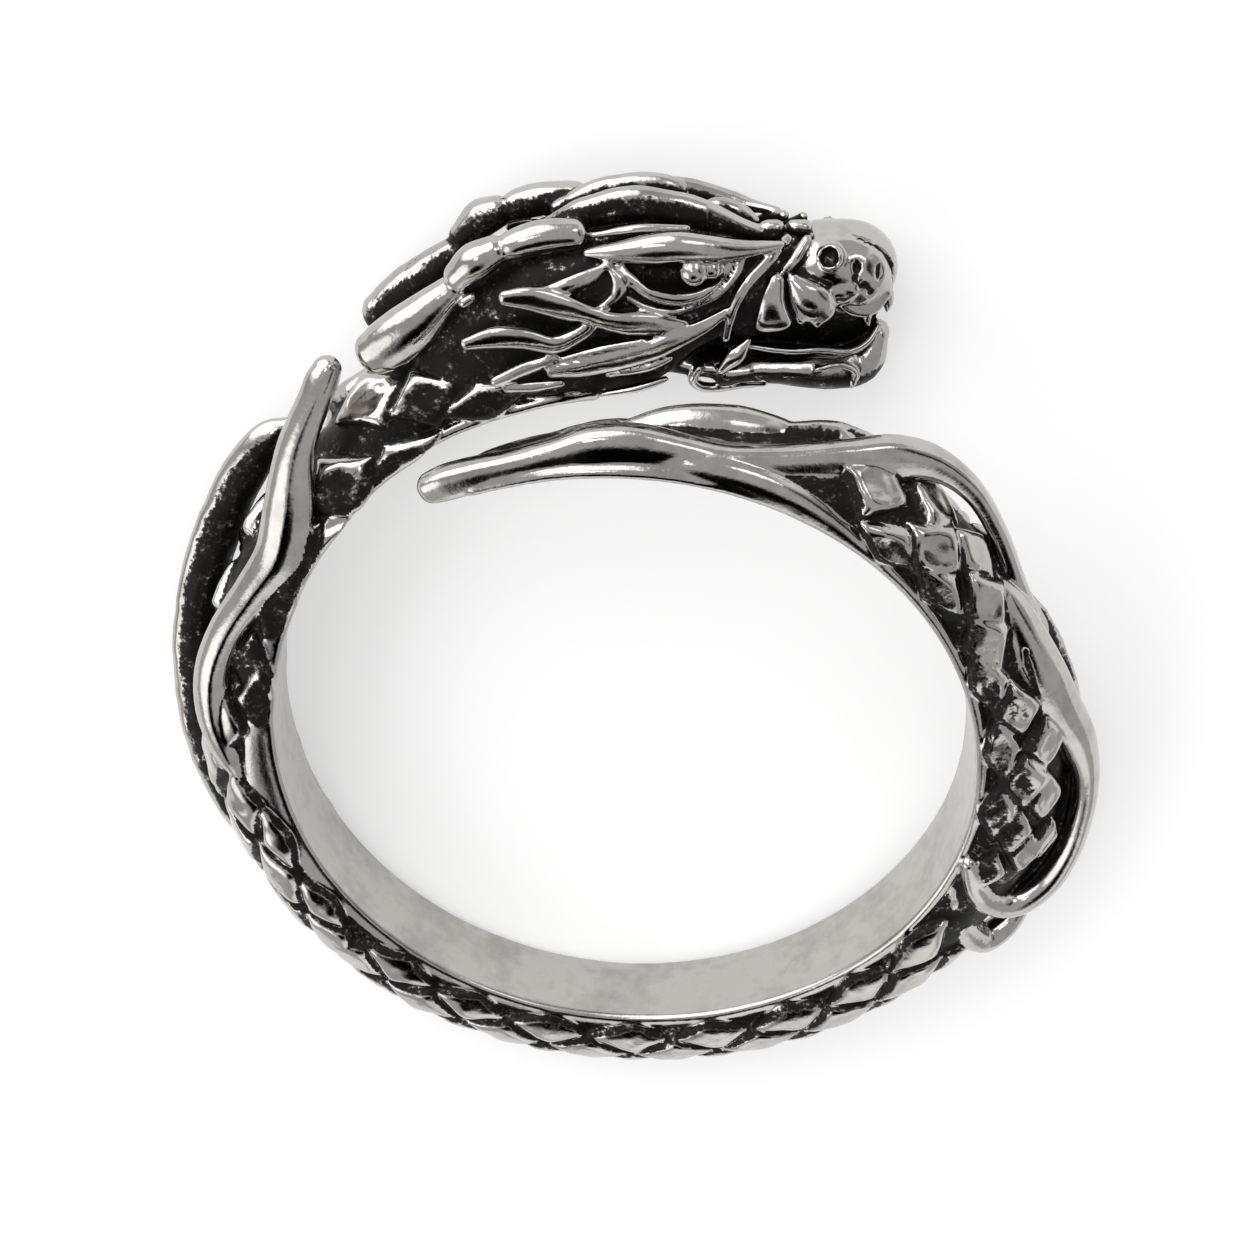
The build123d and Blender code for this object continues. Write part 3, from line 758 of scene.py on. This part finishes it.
# Grooves beside the ribbon and the tail's strip
GROOVES = [
    [Rib(113, 11.38, 2.50, 0.05, 0.10), Rib(110, 11.30, 2.60, 0.12, 0.20),
     Rib(106, 11.34, 2.62, 0.05, 0.10)],
    [Rib(163, 9.80, 2.42, 0.06, 0.20), Rib(150, 9.84, 2.46, 0.14, 0.35),
     Rib(140, 9.86, 2.46, 0.10, 0.30)],
]
for kind, finish, fillet, rows in HOOP_FORMS:
    add_form(rib(rows, kind), finish, fillet)
for rows in GROOVES:
    add_form(rib(rows), BLACK, 0.05, cut=True)

# The head: the skull with the two bulges of its snout, the jaw and the mouth
JAW = [
    Bar(0.4, 10.65, HEAD_MIDDLE, 0.9, 3.0),
    Bar(2.3, 10.27, HEAD_MIDDLE, 0.95, 2.8),
    Bar(4.4, 10.02, HEAD_MIDDLE, 1.25, 2.35),
    Bar(5.6, 9.88, HEAD_MIDDLE, 1.35, 1.95),
    Bar(6.42, 9.98, HEAD_MIDDLE, 1.20, 1.5),
    Bar(6.80, 10.75, HEAD_MIDDLE, 0.6, 0.9),
]
THROAT = [
    Bar(3.0, 11.15, HEAD_MIDDLE, 0.7, 1.8),
    Bar(4.4, 11.00, HEAD_MIDDLE, 1.2, 1.7),
    Bar(5.6, 10.85, HEAD_MIDDLE, 1.3, 1.35),
    Bar(6.2, 10.95, HEAD_MIDDLE, 1.0, 0.9),
]
PALATE = [
    Bar(3.2, 11.2, HEAD_MIDDLE, 1.2, 1.6),
    Bar(4.5, 11.1, HEAD_MIDDLE - 0.35, 1.9, 0.9),
    Bar(5.7, 11.05, HEAD_MIDDLE - 0.35, 1.8, 0.8),
    Bar(6.35, 11.0, HEAD_MIDDLE - 0.35, 1.4, 0.6),
]
add_form(skull_mesh(), DARK, 0.3)
add_form(ball(5.95, 12.62, HEAD_MIDDLE, 1.20, (1.03, 1.0, 1.05)), POLISHED, 0.2)
add_form(ball(5.2, 12.92, HEAD_MIDDLE, 1.0, (1.0, 0.86, 1.22)), BRIGHT, 0.35)
add_form(bar(JAW), 0.45, 0.15)
add_form(bar(THROAT), BLACK, 0.08, cut=True)
add_form(bar(PALATE), BLACK, 0.1)

# Forms on both sides of the head, duller on the far side
SIDE_FORMS = [
    # The horn: its root, its knuckle, its end and a bead beneath it
    Form(OVAL, POLISHED, 0.04, [
        Bar(-1.15, 14.05, -2.00, 0.82, 0.80), Bar(-1.9, 14.0, -1.95, 0.90, 0.85),
        Bar(-2.6, 13.82, -1.9, 0.82, 0.8), Bar(-3.0, 13.62, -1.9, 0.6, 0.6)]),
    Form(OVAL, POLISHED, 0.04, [
        Bar(-3.2, 13.6, -1.9, 0.85, 0.9), Bar(-3.65, 13.35, -1.85, 1.02, 1.0),
        Bar(-4.05, 12.95, -1.9, 0.85, 0.85)]),
    Form(OVAL, POLISHED, 0.05, [
        Bar(-4.2, 12.6, -1.95, 0.75, 0.78), Bar(-4.7, 12.12, -1.9, 1.05, 0.95),
        Bar(-5.35, 11.46, -1.9, 1.42, 1.15), Bar(-6.0, 10.92, -1.95, 1.42, 1.12),
        Bar(-6.32, 10.70, -2.0, 1.25, 1.0)]),
    Form(OVAL, POLISHED, 0.04, [
        Bar(-3.75, 12.5, -1.55, 0.3, 0.3), Bar(-3.95, 12.35, -1.55, 0.3, 0.3)]),
    # The brow, and a thin ridge over it
    Form(OVAL, POLISHED, 0.06, [
        Bar(-0.8, 13.72, -1.6, 0.25, 0.3), Bar(0.0, 13.8, -1.5, 0.55, 0.5),
        Bar(0.7, 13.87, -1.45, 0.82, 0.65), Bar(1.5, 13.92, -1.45, 0.88, 0.7),
        Bar(2.4, 13.82, -1.55, 0.72, 0.6), Bar(3.2, 13.75, -1.75, 0.45, 0.45),
        Bar(4.1, 13.72, -2.1, 0.2, 0.25)]),
    Form(OVAL, 0.6, 0.06, [
        Bar(-0.7, 14.0, -2.05, 0.2, 0.25), Bar(0.5, 14.18, -2.0, 0.3, 0.3),
        Bar(1.7, 14.18, -2.05, 0.2, 0.25)]),
    # The lids round the eye's lower side
    Form(OVAL, 0.9, 0.04, [
        Bar(0.0, 13.42, -1.5, 0.26, 0.3), Bar(0.35, 13.08, -1.38, 0.36, 0.4),
        Bar(0.9, 12.76, -1.28, 0.46, 0.45), Bar(1.6, 12.66, -1.26, 0.46, 0.45),
        Bar(2.2, 12.86, -1.35, 0.38, 0.4), Bar(2.65, 13.3, -1.55, 0.3, 0.35),
        Bar(2.85, 13.6, -1.7, 0.2, 0.25)]),
    Form(OVAL, 0.55, 0.04, [
        Bar(3.12, 13.75, -1.75, 0.2, 0.25), Bar(2.95, 13.2, -1.55, 0.22, 0.28),
        Bar(2.4, 12.65, -1.35, 0.22, 0.28), Bar(1.5, 12.28, -1.25, 0.22, 0.28),
        Bar(0.7, 12.4, -1.25, 0.2, 0.25), Bar(0.0, 12.75, -1.3, 0.18, 0.22)]),
    # Folds down the muzzle
    Form(OVAL, 0.6, 0.05, [
        Bar(4.25, 13.72, -2.4, 0.28, 0.3), Bar(3.85, 13.45, -2.0, 0.34, 0.32),
        Bar(3.55, 13.2, -1.78, 0.34, 0.32), Bar(3.2, 12.85, -1.6, 0.34, 0.32),
        Bar(2.95, 12.4, -1.5, 0.32, 0.32), Bar(2.8, 11.9, -1.48, 0.3, 0.32),
        Bar(2.72, 11.4, -1.5, 0.24, 0.3)]),
    Form(OVAL, 0.6, 0.05, [
        Bar(4.75, 13.7, -2.4, 0.26, 0.28), Bar(4.45, 13.35, -2.05, 0.3, 0.3),
        Bar(4.2, 13.1, -1.95, 0.24, 0.26)]),
    # The two plates of the upper lip, and the beads beneath them
    Form(BEAN, POLISHED, 0.03, [
        Bar(3.97, 12.85, -1.85, 0.42, 0.45), Bar(3.88, 12.35, -1.72, 0.68, 0.52),
        Bar(3.9, 11.9, -1.68, 0.92, 0.52), Bar(3.92, 11.72, -1.7, 1.0, 0.5)]),
    Form(OVAL, POLISHED, 0.03, [
        Bar(4.42, 12.8, -1.98, 0.4, 0.5), Bar(4.7, 12.45, -1.85, 0.95, 0.62),
        Bar(4.98, 12.15, -1.84, 1.1, 0.66), Bar(5.2, 11.92, -1.9, 0.85, 0.55)]),
    Form(OVAL, POLISHED, 0.03, [
        Bar(4.6, 11.85, -1.8, 0.26, 0.26), Bar(4.64, 11.72, -1.8, 0.24, 0.24)]),
    Form(OVAL, POLISHED, 0.03, [
        Bar(5.02, 11.78, -1.8, 0.3, 0.3), Bar(5.06, 11.66, -1.8, 0.26, 0.26)]),
    # The snout's bump, the upper lip's edge and two teeth
    Form(OVAL, POLISHED, 0.04, [
        Bar(5.75, 12.62, -2.0, 0.36, 0.36), Bar(5.95, 12.5, -1.95, 0.4, 0.36)]),
    Form(OVAL, POLISHED, 0.05, [
        Bar(5.6, 12.15, -2.1, 0.26, 0.26), Bar(6.0, 11.86, -2.1, 0.34, 0.3),
        Bar(6.5, 11.86, -2.2, 0.36, 0.3), Bar(6.88, 12.2, -2.4, 0.26, 0.26)]),
    Form(OVAL, POLISHED, 0.03, [
        Bar(6.3, 11.95, -2.25, 0.42, 0.36), Bar(6.37, 11.65, -2.2, 0.3, 0.28),
        Bar(6.42, 11.38, -2.15, 0.1, 0.1)]),
    Form(OVAL, MIXED, 0.03, [
        Bar(6.88, 12.1, -2.7, 0.4, 0.4), Bar(6.95, 11.8, -2.7, 0.32, 0.3),
        Bar(6.93, 11.5, -2.7, 0.1, 0.1)]),
    # The lower lip, the chin and the corner of the jaw
    Form(OVAL, 0.85, 0.05, [
        Bar(3.3, 10.98, -1.85, 0.16, 0.2), Bar(4.3, 10.78, -1.95, 0.2, 0.24),
        Bar(5.2, 10.72, -2.12, 0.2, 0.24), Bar(5.95, 10.6, -2.25, 0.2, 0.22),
        Bar(6.45, 10.75, -2.5, 0.2, 0.22), Bar(6.75, 11.1, -2.8, 0.14, 0.2)]),
    Form(OVAL, 0.8, 0.05, [
        Bar(5.1, 10.2, -2.0, 0.14, 0.2), Bar(5.7, 10.28, -2.1, 0.18, 0.22),
        Bar(6.15, 10.0, -2.25, 0.18, 0.22), Bar(6.1, 9.55, -2.3, 0.14, 0.2)]),
    Form(LEAF, 0.7, 0.03, [
        Bar(3.3, 11.2, -1.72, 0.22, 0.3), Bar(3.0, 10.82, -1.62, 0.5, 0.36),
        Bar(2.62, 10.4, -1.62, 0.25, 0.3)]),
    Form(OVAL, 0.8, 0.05, [
        Bar(2.05, 10.42, -1.7, 0.2, 0.3), Bar(1.9, 10.05, -1.75, 0.26, 0.34),
        Bar(2.15, 9.78, -1.85, 0.26, 0.34), Bar(2.65, 9.72, -1.95, 0.26, 0.34),
        Bar(3.2, 9.78, -2.0, 0.22, 0.3), Bar(3.8, 9.8, -2.0, 0.16, 0.24)]),
    Form(OVAL, 0.4, 0.1, [
        Bar(2.7, 10.1, -1.9, 0.5, 0.5), Bar(3.3, 10.15, -1.95, 0.4, 0.4)]),
    # The three cheek spikes, swept back
    Form(BEAN, 0.68, 0.05, [
        Bar(-2.9, 12.8, -0.95, 0.42, 0.3), Bar(-2.2, 12.76, -0.98, 0.66, 0.36),
        Bar(-1.4, 12.5, -1.02, 0.68, 0.38), Bar(-0.75, 12.3, -1.05, 0.50, 0.38),
        Bar(-0.3, 12.12, -1.05, 0.52, 0.38), Bar(0.35, 12.02, -1.1, 0.66, 0.4),
        Bar(1.0, 11.96, -1.18, 0.59, 0.36), Bar(1.6, 11.92, -1.28, 0.29, 0.3)]),
    Form(BEAN, 0.68, 0.05, [
        Bar(-3.9, 11.5, -0.95, 0.35, 0.28), Bar(-3.2, 11.68, -0.95, 0.59, 0.34),
        Bar(-2.4, 11.66, -0.98, 0.57, 0.36), Bar(-1.67, 11.48, -1.0, 0.50, 0.36),
        Bar(-1.0, 11.76, -1.05, 0.42, 0.34), Bar(-0.6, 12.1, -1.05, 0.31, 0.3)]),
    Form(BEAN, 0.68, 0.05, [
        Bar(-1.75, 10.7, -0.98, 0.35, 0.28), Bar(-0.66, 10.88, -1.02, 0.59, 0.36),
        Bar(0.66, 11.22, -1.1, 0.61, 0.38), Bar(1.5, 11.56, -1.2, 0.54, 0.38),
        Bar(2.2, 11.86, -1.35, 0.42, 0.34), Bar(2.7, 12.15, -1.5, 0.26, 0.3)]),
    # Small leaves and thin ridges between and below the spikes
    Form(OVAL, 0.6, 0.04, [
        Bar(-1.7, 10.95, -1.05, 0.2, 0.25), Bar(-0.5, 11.3, -1.05, 0.26, 0.3),
        Bar(0.6, 11.5, -1.1, 0.24, 0.3)]),
    Form(LEAF, 0.55, 0.1, [
        Bar(-3.2, 10.38, -0.98, 0.34, 0.25), Bar(-2.45, 10.72, -1.0, 0.44, 0.3),
        Bar(-1.7, 11.05, -1.02, 0.34, 0.3)]),
    Form(LEAF, 0.5, 0.1, [
        Bar(-2.9, 10.2, -1.0, 0.3, 0.25), Bar(-2.2, 10.22, -1.02, 0.36, 0.25),
        Bar(-1.5, 10.32, -1.05, 0.24, 0.25)]),
    Form(OVAL, 0.65, 0.04, [
        Bar(-0.3, 10.55, -1.1, 0.18, 0.25), Bar(0.66, 10.73, -1.15, 0.24, 0.3),
        Bar(1.3, 10.95, -1.25, 0.16, 0.2)]),
    Form(OVAL, 0.65, 0.04, [
        Bar(-0.45, 9.95, -1.15, 0.16, 0.25), Bar(0.5, 10.12, -1.2, 0.22, 0.3),
        Bar(1.2, 10.3, -1.3, 0.14, 0.2)]),
    # Folds behind the eye
    Form(OVAL, 0.5, 0.15, [
        Bar(-0.25, 13.45, -1.35, 0.1, 0.16), Bar(0.0, 13.05, -1.22, 0.4, 0.26),
        Bar(-0.1, 12.7, -1.16, 0.34, 0.24), Bar(-0.5, 12.45, -1.1, 0.1, 0.16)]),
    Form(OVAL, 0.5, 0.15, [
        Bar(-0.3, 13.5, -1.4, 0.12, 0.2), Bar(-0.8, 13.2, -1.24, 0.44, 0.26),
        Bar(-1.3, 13.06, -1.14, 0.4, 0.26), Bar(-2.0, 12.98, -1.06, 0.08, 0.16)]),
]
for kind, finish, fillet, rows in SIDE_FORMS:
    add_form(bar(rows, kind), finish, fillet)
    add_form(bar(rows, kind, hand=-1), min(finish, FAR_SIDE), fillet)

# The two crests along the top of the head, and the bumps before them
CREST_FORMS = [
    [Bar(-2.1, 13.85, -2.65, 0.3, 0.4), Bar(-1.5, 14.1, -2.65, 0.6, 0.6),
     Bar(-0.6, 14.4, -2.65, 0.85, 0.66), Bar(0.5, 14.6, -2.65, 0.92, 0.7),
     Bar(1.9, 14.32, -2.65, 0.86, 0.66), Bar(2.9, 13.98, -2.65, 0.62, 0.52),
     Bar(3.6, 13.75, -2.68, 0.36, 0.4), Bar(4.1, 13.65, -2.7, 0.2, 0.26)],
    [Bar(-1.6, 14.0, -3.65, 0.4, 0.45), Bar(-0.5, 14.42, -3.65, 0.75, 0.6),
     Bar(0.9, 14.6, -3.6, 0.8, 0.62), Bar(1.45, 14.5, -3.6, 0.72, 0.58)],
    [Bar(2.05, 14.05, -3.4, 0.3, 0.35), Bar(2.55, 14.12, -3.4, 0.6, 0.56),
     Bar(3.1, 13.95, -3.38, 0.54, 0.5), Bar(3.45, 13.8, -3.3, 0.3, 0.34)],
    [Bar(3.75, 13.85, -2.75, 0.4, 0.4), Bar(4.0, 13.85, -2.75, 0.4, 0.4)],
    [Bar(4.45, 13.85, -2.8, 0.42, 0.42), Bar(4.7, 13.85, -2.8, 0.42, 0.42)],
]
for rows in CREST_FORMS:
    add_form(bar(rows), FAR_SIDE, 0.05)

# The eyes, the nostrils, and the groove and the pits of the snout. A pit has x, y, how far it lies from the
# head's middle, a radius and a stretch. The near nostril's ring is the larger one.
NOSTRIL_RINGS = {1: 0.36, -1: 0.28}
SNOUT_GROOVE = [
    Bar(5.95, 13.72, HEAD_MIDDLE + 0.55, 0.06, 0.1),
    Bar(6.45, 13.55, HEAD_MIDDLE + 0.66, 0.12, 0.2),
    Bar(6.82, 13.22, HEAD_MIDDLE + 0.62, 0.13, 0.2),
    Bar(6.98, 12.8, HEAD_MIDDLE + 0.58, 0.12, 0.2),
    Bar(6.95, 12.45, HEAD_MIDDLE + 0.55, 0.06, 0.1),
]
SNOUT_PITS = [
    (6.02, 13.18, 1.14, 0.17, (0.7, 1.3, 1)),
    (6.25, 12.66, 1.28, 0.15, (1.3, 0.8, 1)),
    (6.6, 13.02, 1.05, 0.18, (0.6, 1.6, 1)),
    (5.98, 12.88, 1.24, 0.11, (0.8, 1.4, 1)),
    (6.42, 12.42, 1.2, 0.12, (0.8, 1.2, 1)),
]
for hand, nostril_ring in NOSTRIL_RINGS.items():
    add_form(ball(1.55, 13.22, HEAD_MIDDLE + hand * 1.72, 0.60, (1.75, 0.72, 0.8)), BLACK, 0.05, cut=True)
    add_form(ball(1.85, 13.30, HEAD_MIDDLE + hand * 1.66, 0.42), POLISHED, 0.02)
    add_form(ball(2.32, 13.34, HEAD_MIDDLE + hand * 1.66, 0.26), POLISHED, 0.02)
    add_form(ball(5.36, 13.36, HEAD_MIDDLE + hand * 1.02, nostril_ring), POLISHED, 0.06)
    add_form(ball(5.30, 13.44, HEAD_MIDDLE + hand * 1.18, 0.27), BLACK, 0.04, cut=True)
    add_form(bar(SNOUT_GROOVE, hand=hand), BLACK, 0.05, cut=True)
    add_form(ball(5.62, 12.42, HEAD_MIDDLE + hand * 1.02, 0.40, (1.15, 0.9, 0.8)), POLISHED, 0.06)
    for x, y, out, radius, stretch in SNOUT_PITS:
        add_form(ball(x, y, HEAD_MIDDLE + hand * out, radius, stretch), BLACK, 0.05, cut=True)


def ripple(length, seed):
    """Smooth noise over the block, with bumps about this long in millimetres."""
    knots = [int(count * GRAIN / length) + 5 for count in counts]
    values = np.random.default_rng(seed).standard_normal(knots).astype(np.float32)
    for axis, count in enumerate(counts):
        at = np.arange(count) * GRAIN / length
        low = at.astype(int)
        t = at - low
        weights = np.zeros((count, knots[axis]), np.float32)
        rows = np.arange(count)
        for offset, weight in enumerate(((1 - t)**3 / 6, (3 * t**3 - 6 * t**2 + 4) / 6,
                                         (-3 * t**3 + 3 * t**2 + 3 * t + 1) / 6, t**3 / 6)):
            weights[rows, low + offset] = weight
        values = np.moveaxis(np.tensordot(weights, values, (1, axis)), 0, axis)
    return values


# Cast silver is never quite even: the dull parts ripple, the polished ones hardly do. Each ripple has a
# length and a seed, and is then given its height in millimetres.
dull = np.clip(1.15 - tone, 0, 1)
solid += (ripple(0.55, 5) * 0.035 + ripple(0.28, 9) * 0.03) * dull + ripple(1.1, 12) * 0.012

# The finger hole
x, y = ((np.arange(count, dtype=np.float32) + start) * np.float32(GRAIN)
        for count, start in zip(counts[:2], first[:2]))
bore = BORE_RADIUS - np.sqrt(x[:, None, None]**2 + y[None, :, None]**2)
share = np.clip(0.5 - 0.5 * (bore - solid) / BORE_FILLET, 0, 1)
solid = bore * (1 - share) + solid * share + BORE_FILLET * share * (1 - share)
tone[np.broadcast_to(bore > -WALL_BAND, tone.shape)] = POLISHED

grid = openvdb.FloatGrid(float(FAR))
grid.copyFromArray(solid, ijk=tuple(int(v) for v in first))
grid.transform = openvdb.createLinearTransform(GRAIN)
points, quads = grid.convertToQuads(0)
corners = points[quads].astype(float)
facing = np.cross(corners[:, 1] - corners[:, 0], corners[:, 2] - corners[:, 0])
if (facing * corners[:, 0]).sum() < 0:
    quads = quads[:, ::-1]


def box_blur(values, reach):
    """A three-fold box blur, which is close to a round one."""
    size = 2 * reach + 1
    for _ in range(3):
        for axis in range(3):
            edges = [(reach, reach) if other == axis else (0, 0) for other in range(3)]
            sums = np.cumsum(np.pad(values, edges, mode="edge"), axis=axis, dtype=np.float32)
            sums = np.concatenate([np.zeros_like(values.take([0], axis)), sums], axis=axis)
            values = (sums.take(range(size, sums.shape[axis]), axis)
                      - sums.take(range(0, sums.shape[axis] - size), axis)) / size
    return values


def sample(values, points):
    """Values between the cubes at points in millimetres."""
    at = points / GRAIN - first
    low = np.clip(np.floor(at).astype(int), 0, np.array(counts) - 2)
    part = at - low
    total = 0
    for corner in np.ndindex(2, 2, 2):
        weight = np.prod(np.where(np.array(corner), part, 1 - part), axis=1)
        total = total + weight * values[tuple((low + np.array(corner)).T)]
    return total


def metal_around(reach):
    """How much of what lies this near, in millimetres, is metal, at each point of the skin."""
    filled = np.clip(0.5 - solid / GRAIN, 0, 1)
    return sample(box_blur(filled, max(int(reach / GRAIN), 1)), points)


# Which way the skin faces, from the distances themselves, so that the pieces' edges don't show
slope = np.stack([sample(solid, points + step) - sample(solid, points - step)
                  for step in np.eye(3) * GRAIN * 0.8], 1)
normals = slope / np.maximum(np.linalg.norm(slope, axis=1), 1e-9)[:, None]
reach = np.hypot(points[:, 0], points[:, 1])
radial = np.stack([points[:, 0] / reach, points[:, 1] / reach, np.zeros(len(points))], 1)

# The wheel brightens forms of a bright finish, what stands out of its surroundings, near and wide, and what
# faces outward. The skin is also made brighter where it faces +Z, towards the camera's side, and darker where
# it faces the other way; a dull form gets less of this.
NEAR_SPOT, WIDE_SPOT = 0.10, 0.35
HOLLOW = 1.9  # how much more a hollow darkens than a bump brightens
WALL_FINISH = 0.4
finish = sample(tone, points)
tilt = np.interp(finish, (DARK, MIXED), (0.12, 0.53))
exposed = (normals * radial).sum(1) * 0.88 + normals[:, 2] * tilt
standing = 0.9 * (0.5 - metal_around(NEAR_SPOT)) + 1.3 * (0.5 - metal_around(WIDE_SPOT))
standing = np.where(standing < 0, standing * HOLLOW, standing)
between = 1 - np.abs(2 * finish - 1)
rubbed = ((finish - 0.5) * 0.9 + standing * (0.55 + 0.45 * finish)
          + (exposed - 0.55) * (0.1 + 0.75 * between))
on_wall = np.clip((BORE_RADIUS + 0.10 - reach) / 0.06, 0, 1)
rubbed = np.maximum(rubbed, on_wall * WALL_FINISH)

# A thin dark line of painted shade runs beside the finger wall, round the bottom and the lower left. It
# stands for the shading and dark reflection at the edge between the wall and the rim.
SHADE_LINE_OUT, SHADE_LINE_WIDTH, SHADE_LINE_DEPTH = 0.17, 0.05, 0.8
SHADE_LINE_MIDDLE, SHADE_LINE_REACH, SHADE_LINE_FADE = -25, 65, 20
turns = np.degrees(np.arctan2(points[:, 0], -points[:, 1]))
painted_edge_shade = np.exp(-((reach - BORE_RADIUS - SHADE_LINE_OUT) / SHADE_LINE_WIDTH)**2) * (normals[:, 2] > 0.3)
shade_line_share = np.clip((SHADE_LINE_REACH - np.abs(turns - SHADE_LINE_MIDDLE)) / SHADE_LINE_FADE, 0, 1)
# Painted shade: the dark line is taken off the polish, so the silver shows it as darker colour
rubbed = rubbed - painted_edge_shade * SHADE_LINE_DEPTH * shade_line_share
attributes = {"rubbed": rubbed, "satin": on_wall}

# From millimetres about the finger hole to the frame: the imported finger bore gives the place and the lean
mount = next(m for m in frame["record"]["mounts"] if m["name"] == "finger_bore")
hole = Vector(mount["axis"]).normalized()
across = Vector((hole.z, 0, -hole.x)).normalized()
leaning = Matrix((across, hole.cross(across), hole)).transposed()
ring_to_frame = Matrix.Translation(mount["pos_m"]) @ leaning.to_4x4() @ Matrix.Scale(MILLIMETRE, 4)
turn_and_shrink = np.array(ring_to_frame.to_3x3())
turn_only = turn_and_shrink / MILLIMETRE
shift = np.array(ring_to_frame.translation)


def skin(name, quads):
    """One piece of the skin, as its own object."""
    used, order = np.unique(quads, return_inverse=True)
    mesh = bpy.data.meshes.new(name)
    verts = points[used] @ turn_and_shrink.T + shift
    mesh.from_pydata(verts.tolist(), [], order.reshape(-1, 4).tolist())
    mesh.shade_smooth()
    mesh.normals_split_custom_set_from_vertices((normals[used] @ turn_only.T).tolist())
    for label, data in attributes.items():
        values = data[used].astype(np.float32)
        mesh.attributes.new(label, "FLOAT", "POINT").data.foreach_set("value", values)
    mesh.materials.append(metal)
    piece = bpy.data.objects.new(name, mesh)
    bpy.context.scene.collection.objects.link(piece)
    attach(piece, "root")
    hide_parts("dragon_ring")


# The skin in four pieces, so that each stays under 200,000 triangles
HEAD_FLOOR, HEAD_FRONT, BASE_TOP, TAIL_FLOOR = 9.6, -0.3, -4, 6
x, y, z = corners.mean(1).T
in_head = (y > HEAD_FLOOR) & (z < HEAD_FRONT)
in_base = ~in_head & (y < BASE_TOP)
in_tail = ~in_head & ~in_base & ((x > 0) | ((y > TAIL_FLOOR) & (z > HEAD_FRONT)))
in_neck = ~in_head & ~in_base & ~in_tail
for name, chosen in (("head", in_head), ("tail", in_tail), ("neck", in_neck), ("base", in_base)):
    skin(name, quads[chosen])

# The table is a sheet of white paper, which glows a little, as if lit evenly from all round
PAPER = 1.2  # half its side, in metres
paper = bpy.data.materials.new("white paper")
paper.use_nodes = True
sheet = paper.node_tree.nodes["Principled BSDF"]
for name, value in (("Base Color", (0.62, 0.62, 0.62, 1)), ("Roughness", 1.0), ("Specular IOR Level", 0.0),
                    ("Emission Color", (1, 1, 1, 1)), ("Emission Strength", 0.46)):
    sheet.inputs[name].default_value = value
floor_mesh = bpy.data.meshes.new("table")
floor_corners = [(-PAPER, -PAPER, 0), (PAPER, -PAPER, 0), (PAPER, PAPER, 0), (-PAPER, PAPER, 0)]
floor_mesh.from_pydata(floor_corners, [], [(0, 1, 2, 3)])
floor_mesh.materials.append(paper)
floor = bpy.data.objects.new("table", floor_mesh)
bpy.context.scene.collection.objects.link(floor)

# The room glows evenly, and lit panels and dark screens stand round the ring. Each row says where one stands,
# within how many degrees it is full and where it ends, and what it adds to the room's glow.
ROOM_GLOW = 0.60
PANELS = [
    Panel((-0.508, 0.747, 0.416), 27, 39, 2.3),
    Panel((-0.711, -0.383, 0.590), 15, 26, 1.5),
    Panel((0.90, 0.35, 0.10), 22, 36, 0.5),
    Panel((0.058, -0.598, 0.800), 12, 25, -0.60),
    Panel((0.855, 0.227, 0.466), 14, 27, -0.60),
    Panel((0.15, -0.85, 0.30), 12, 26, 0.7),
    Panel((0.42, 0.60, 0.68), 6, 12, 2.0),
    Panel((-0.18, 0.30, 0.92), 3, 7, 5.0),
]
world = bpy.data.worlds.new("studio")
bpy.context.scene.world = world
world.use_nodes = True
sky = world.node_tree
faced = node(sky, "ShaderNodeTexCoord")
glow = ROOM_GLOW
for panel in PANELS:
    aim = Vector(panel.place).normalized()
    towards = node(sky, "ShaderNodeVectorMath", {"operation": "DOT_PRODUCT"}, {0: faced, 1: aim}, output=1)
    glow = glow + node(sky, "ShaderNodeMapRange", {"interpolation_type": "SMOOTHSTEP"}, {
        "Value": towards, "From Min": cos(radians(panel.far)), "From Max": cos(radians(panel.near)),
        "To Min": 0.0, "To Max": panel.strength})
backdrop = sky.nodes["Background"]
backdrop.inputs["Color"].default_value = (1, 1, 1, 1)
connect(sky, backdrop.inputs["Strength"], glow)

# The camera looks down on the head's side, TILT away from the finger hole's axis
TILT = radians(34.13)
DISTANCE = 69.05
ASIDE, ABOVE = 0.1935, 2.870  # from the finger hole's middle to the picture's
SENSOR = 36
PHOTO_SIDE, FOCAL_PIXELS = 1254, 2499
view = Vector((0, sin(TILT), cos(TILT)))
right = Vector((1, 0, 0))
up = Vector((0, cos(TILT), -sin(TILT)))
eye = ASIDE * right + ABOVE * up + DISTANCE * view
lens = bpy.data.cameras.new("camera")
lens.lens = FOCAL_PIXELS / PHOTO_SIDE * SENSOR
lens.sensor_width = SENSOR
lens.clip_start = 0.002
lens.clip_end = 10
camera = bpy.data.objects.new("camera", lens)
aimed = leaning.to_4x4() @ Matrix((right, up, view)).transposed().to_4x4()
camera.matrix_world = Matrix.Translation(ring_to_frame @ eye) @ aimed
bpy.context.scene.collection.objects.link(camera)
bpy.context.scene.camera = camera
bpy.context.scene.view_settings.view_transform = "Standard"
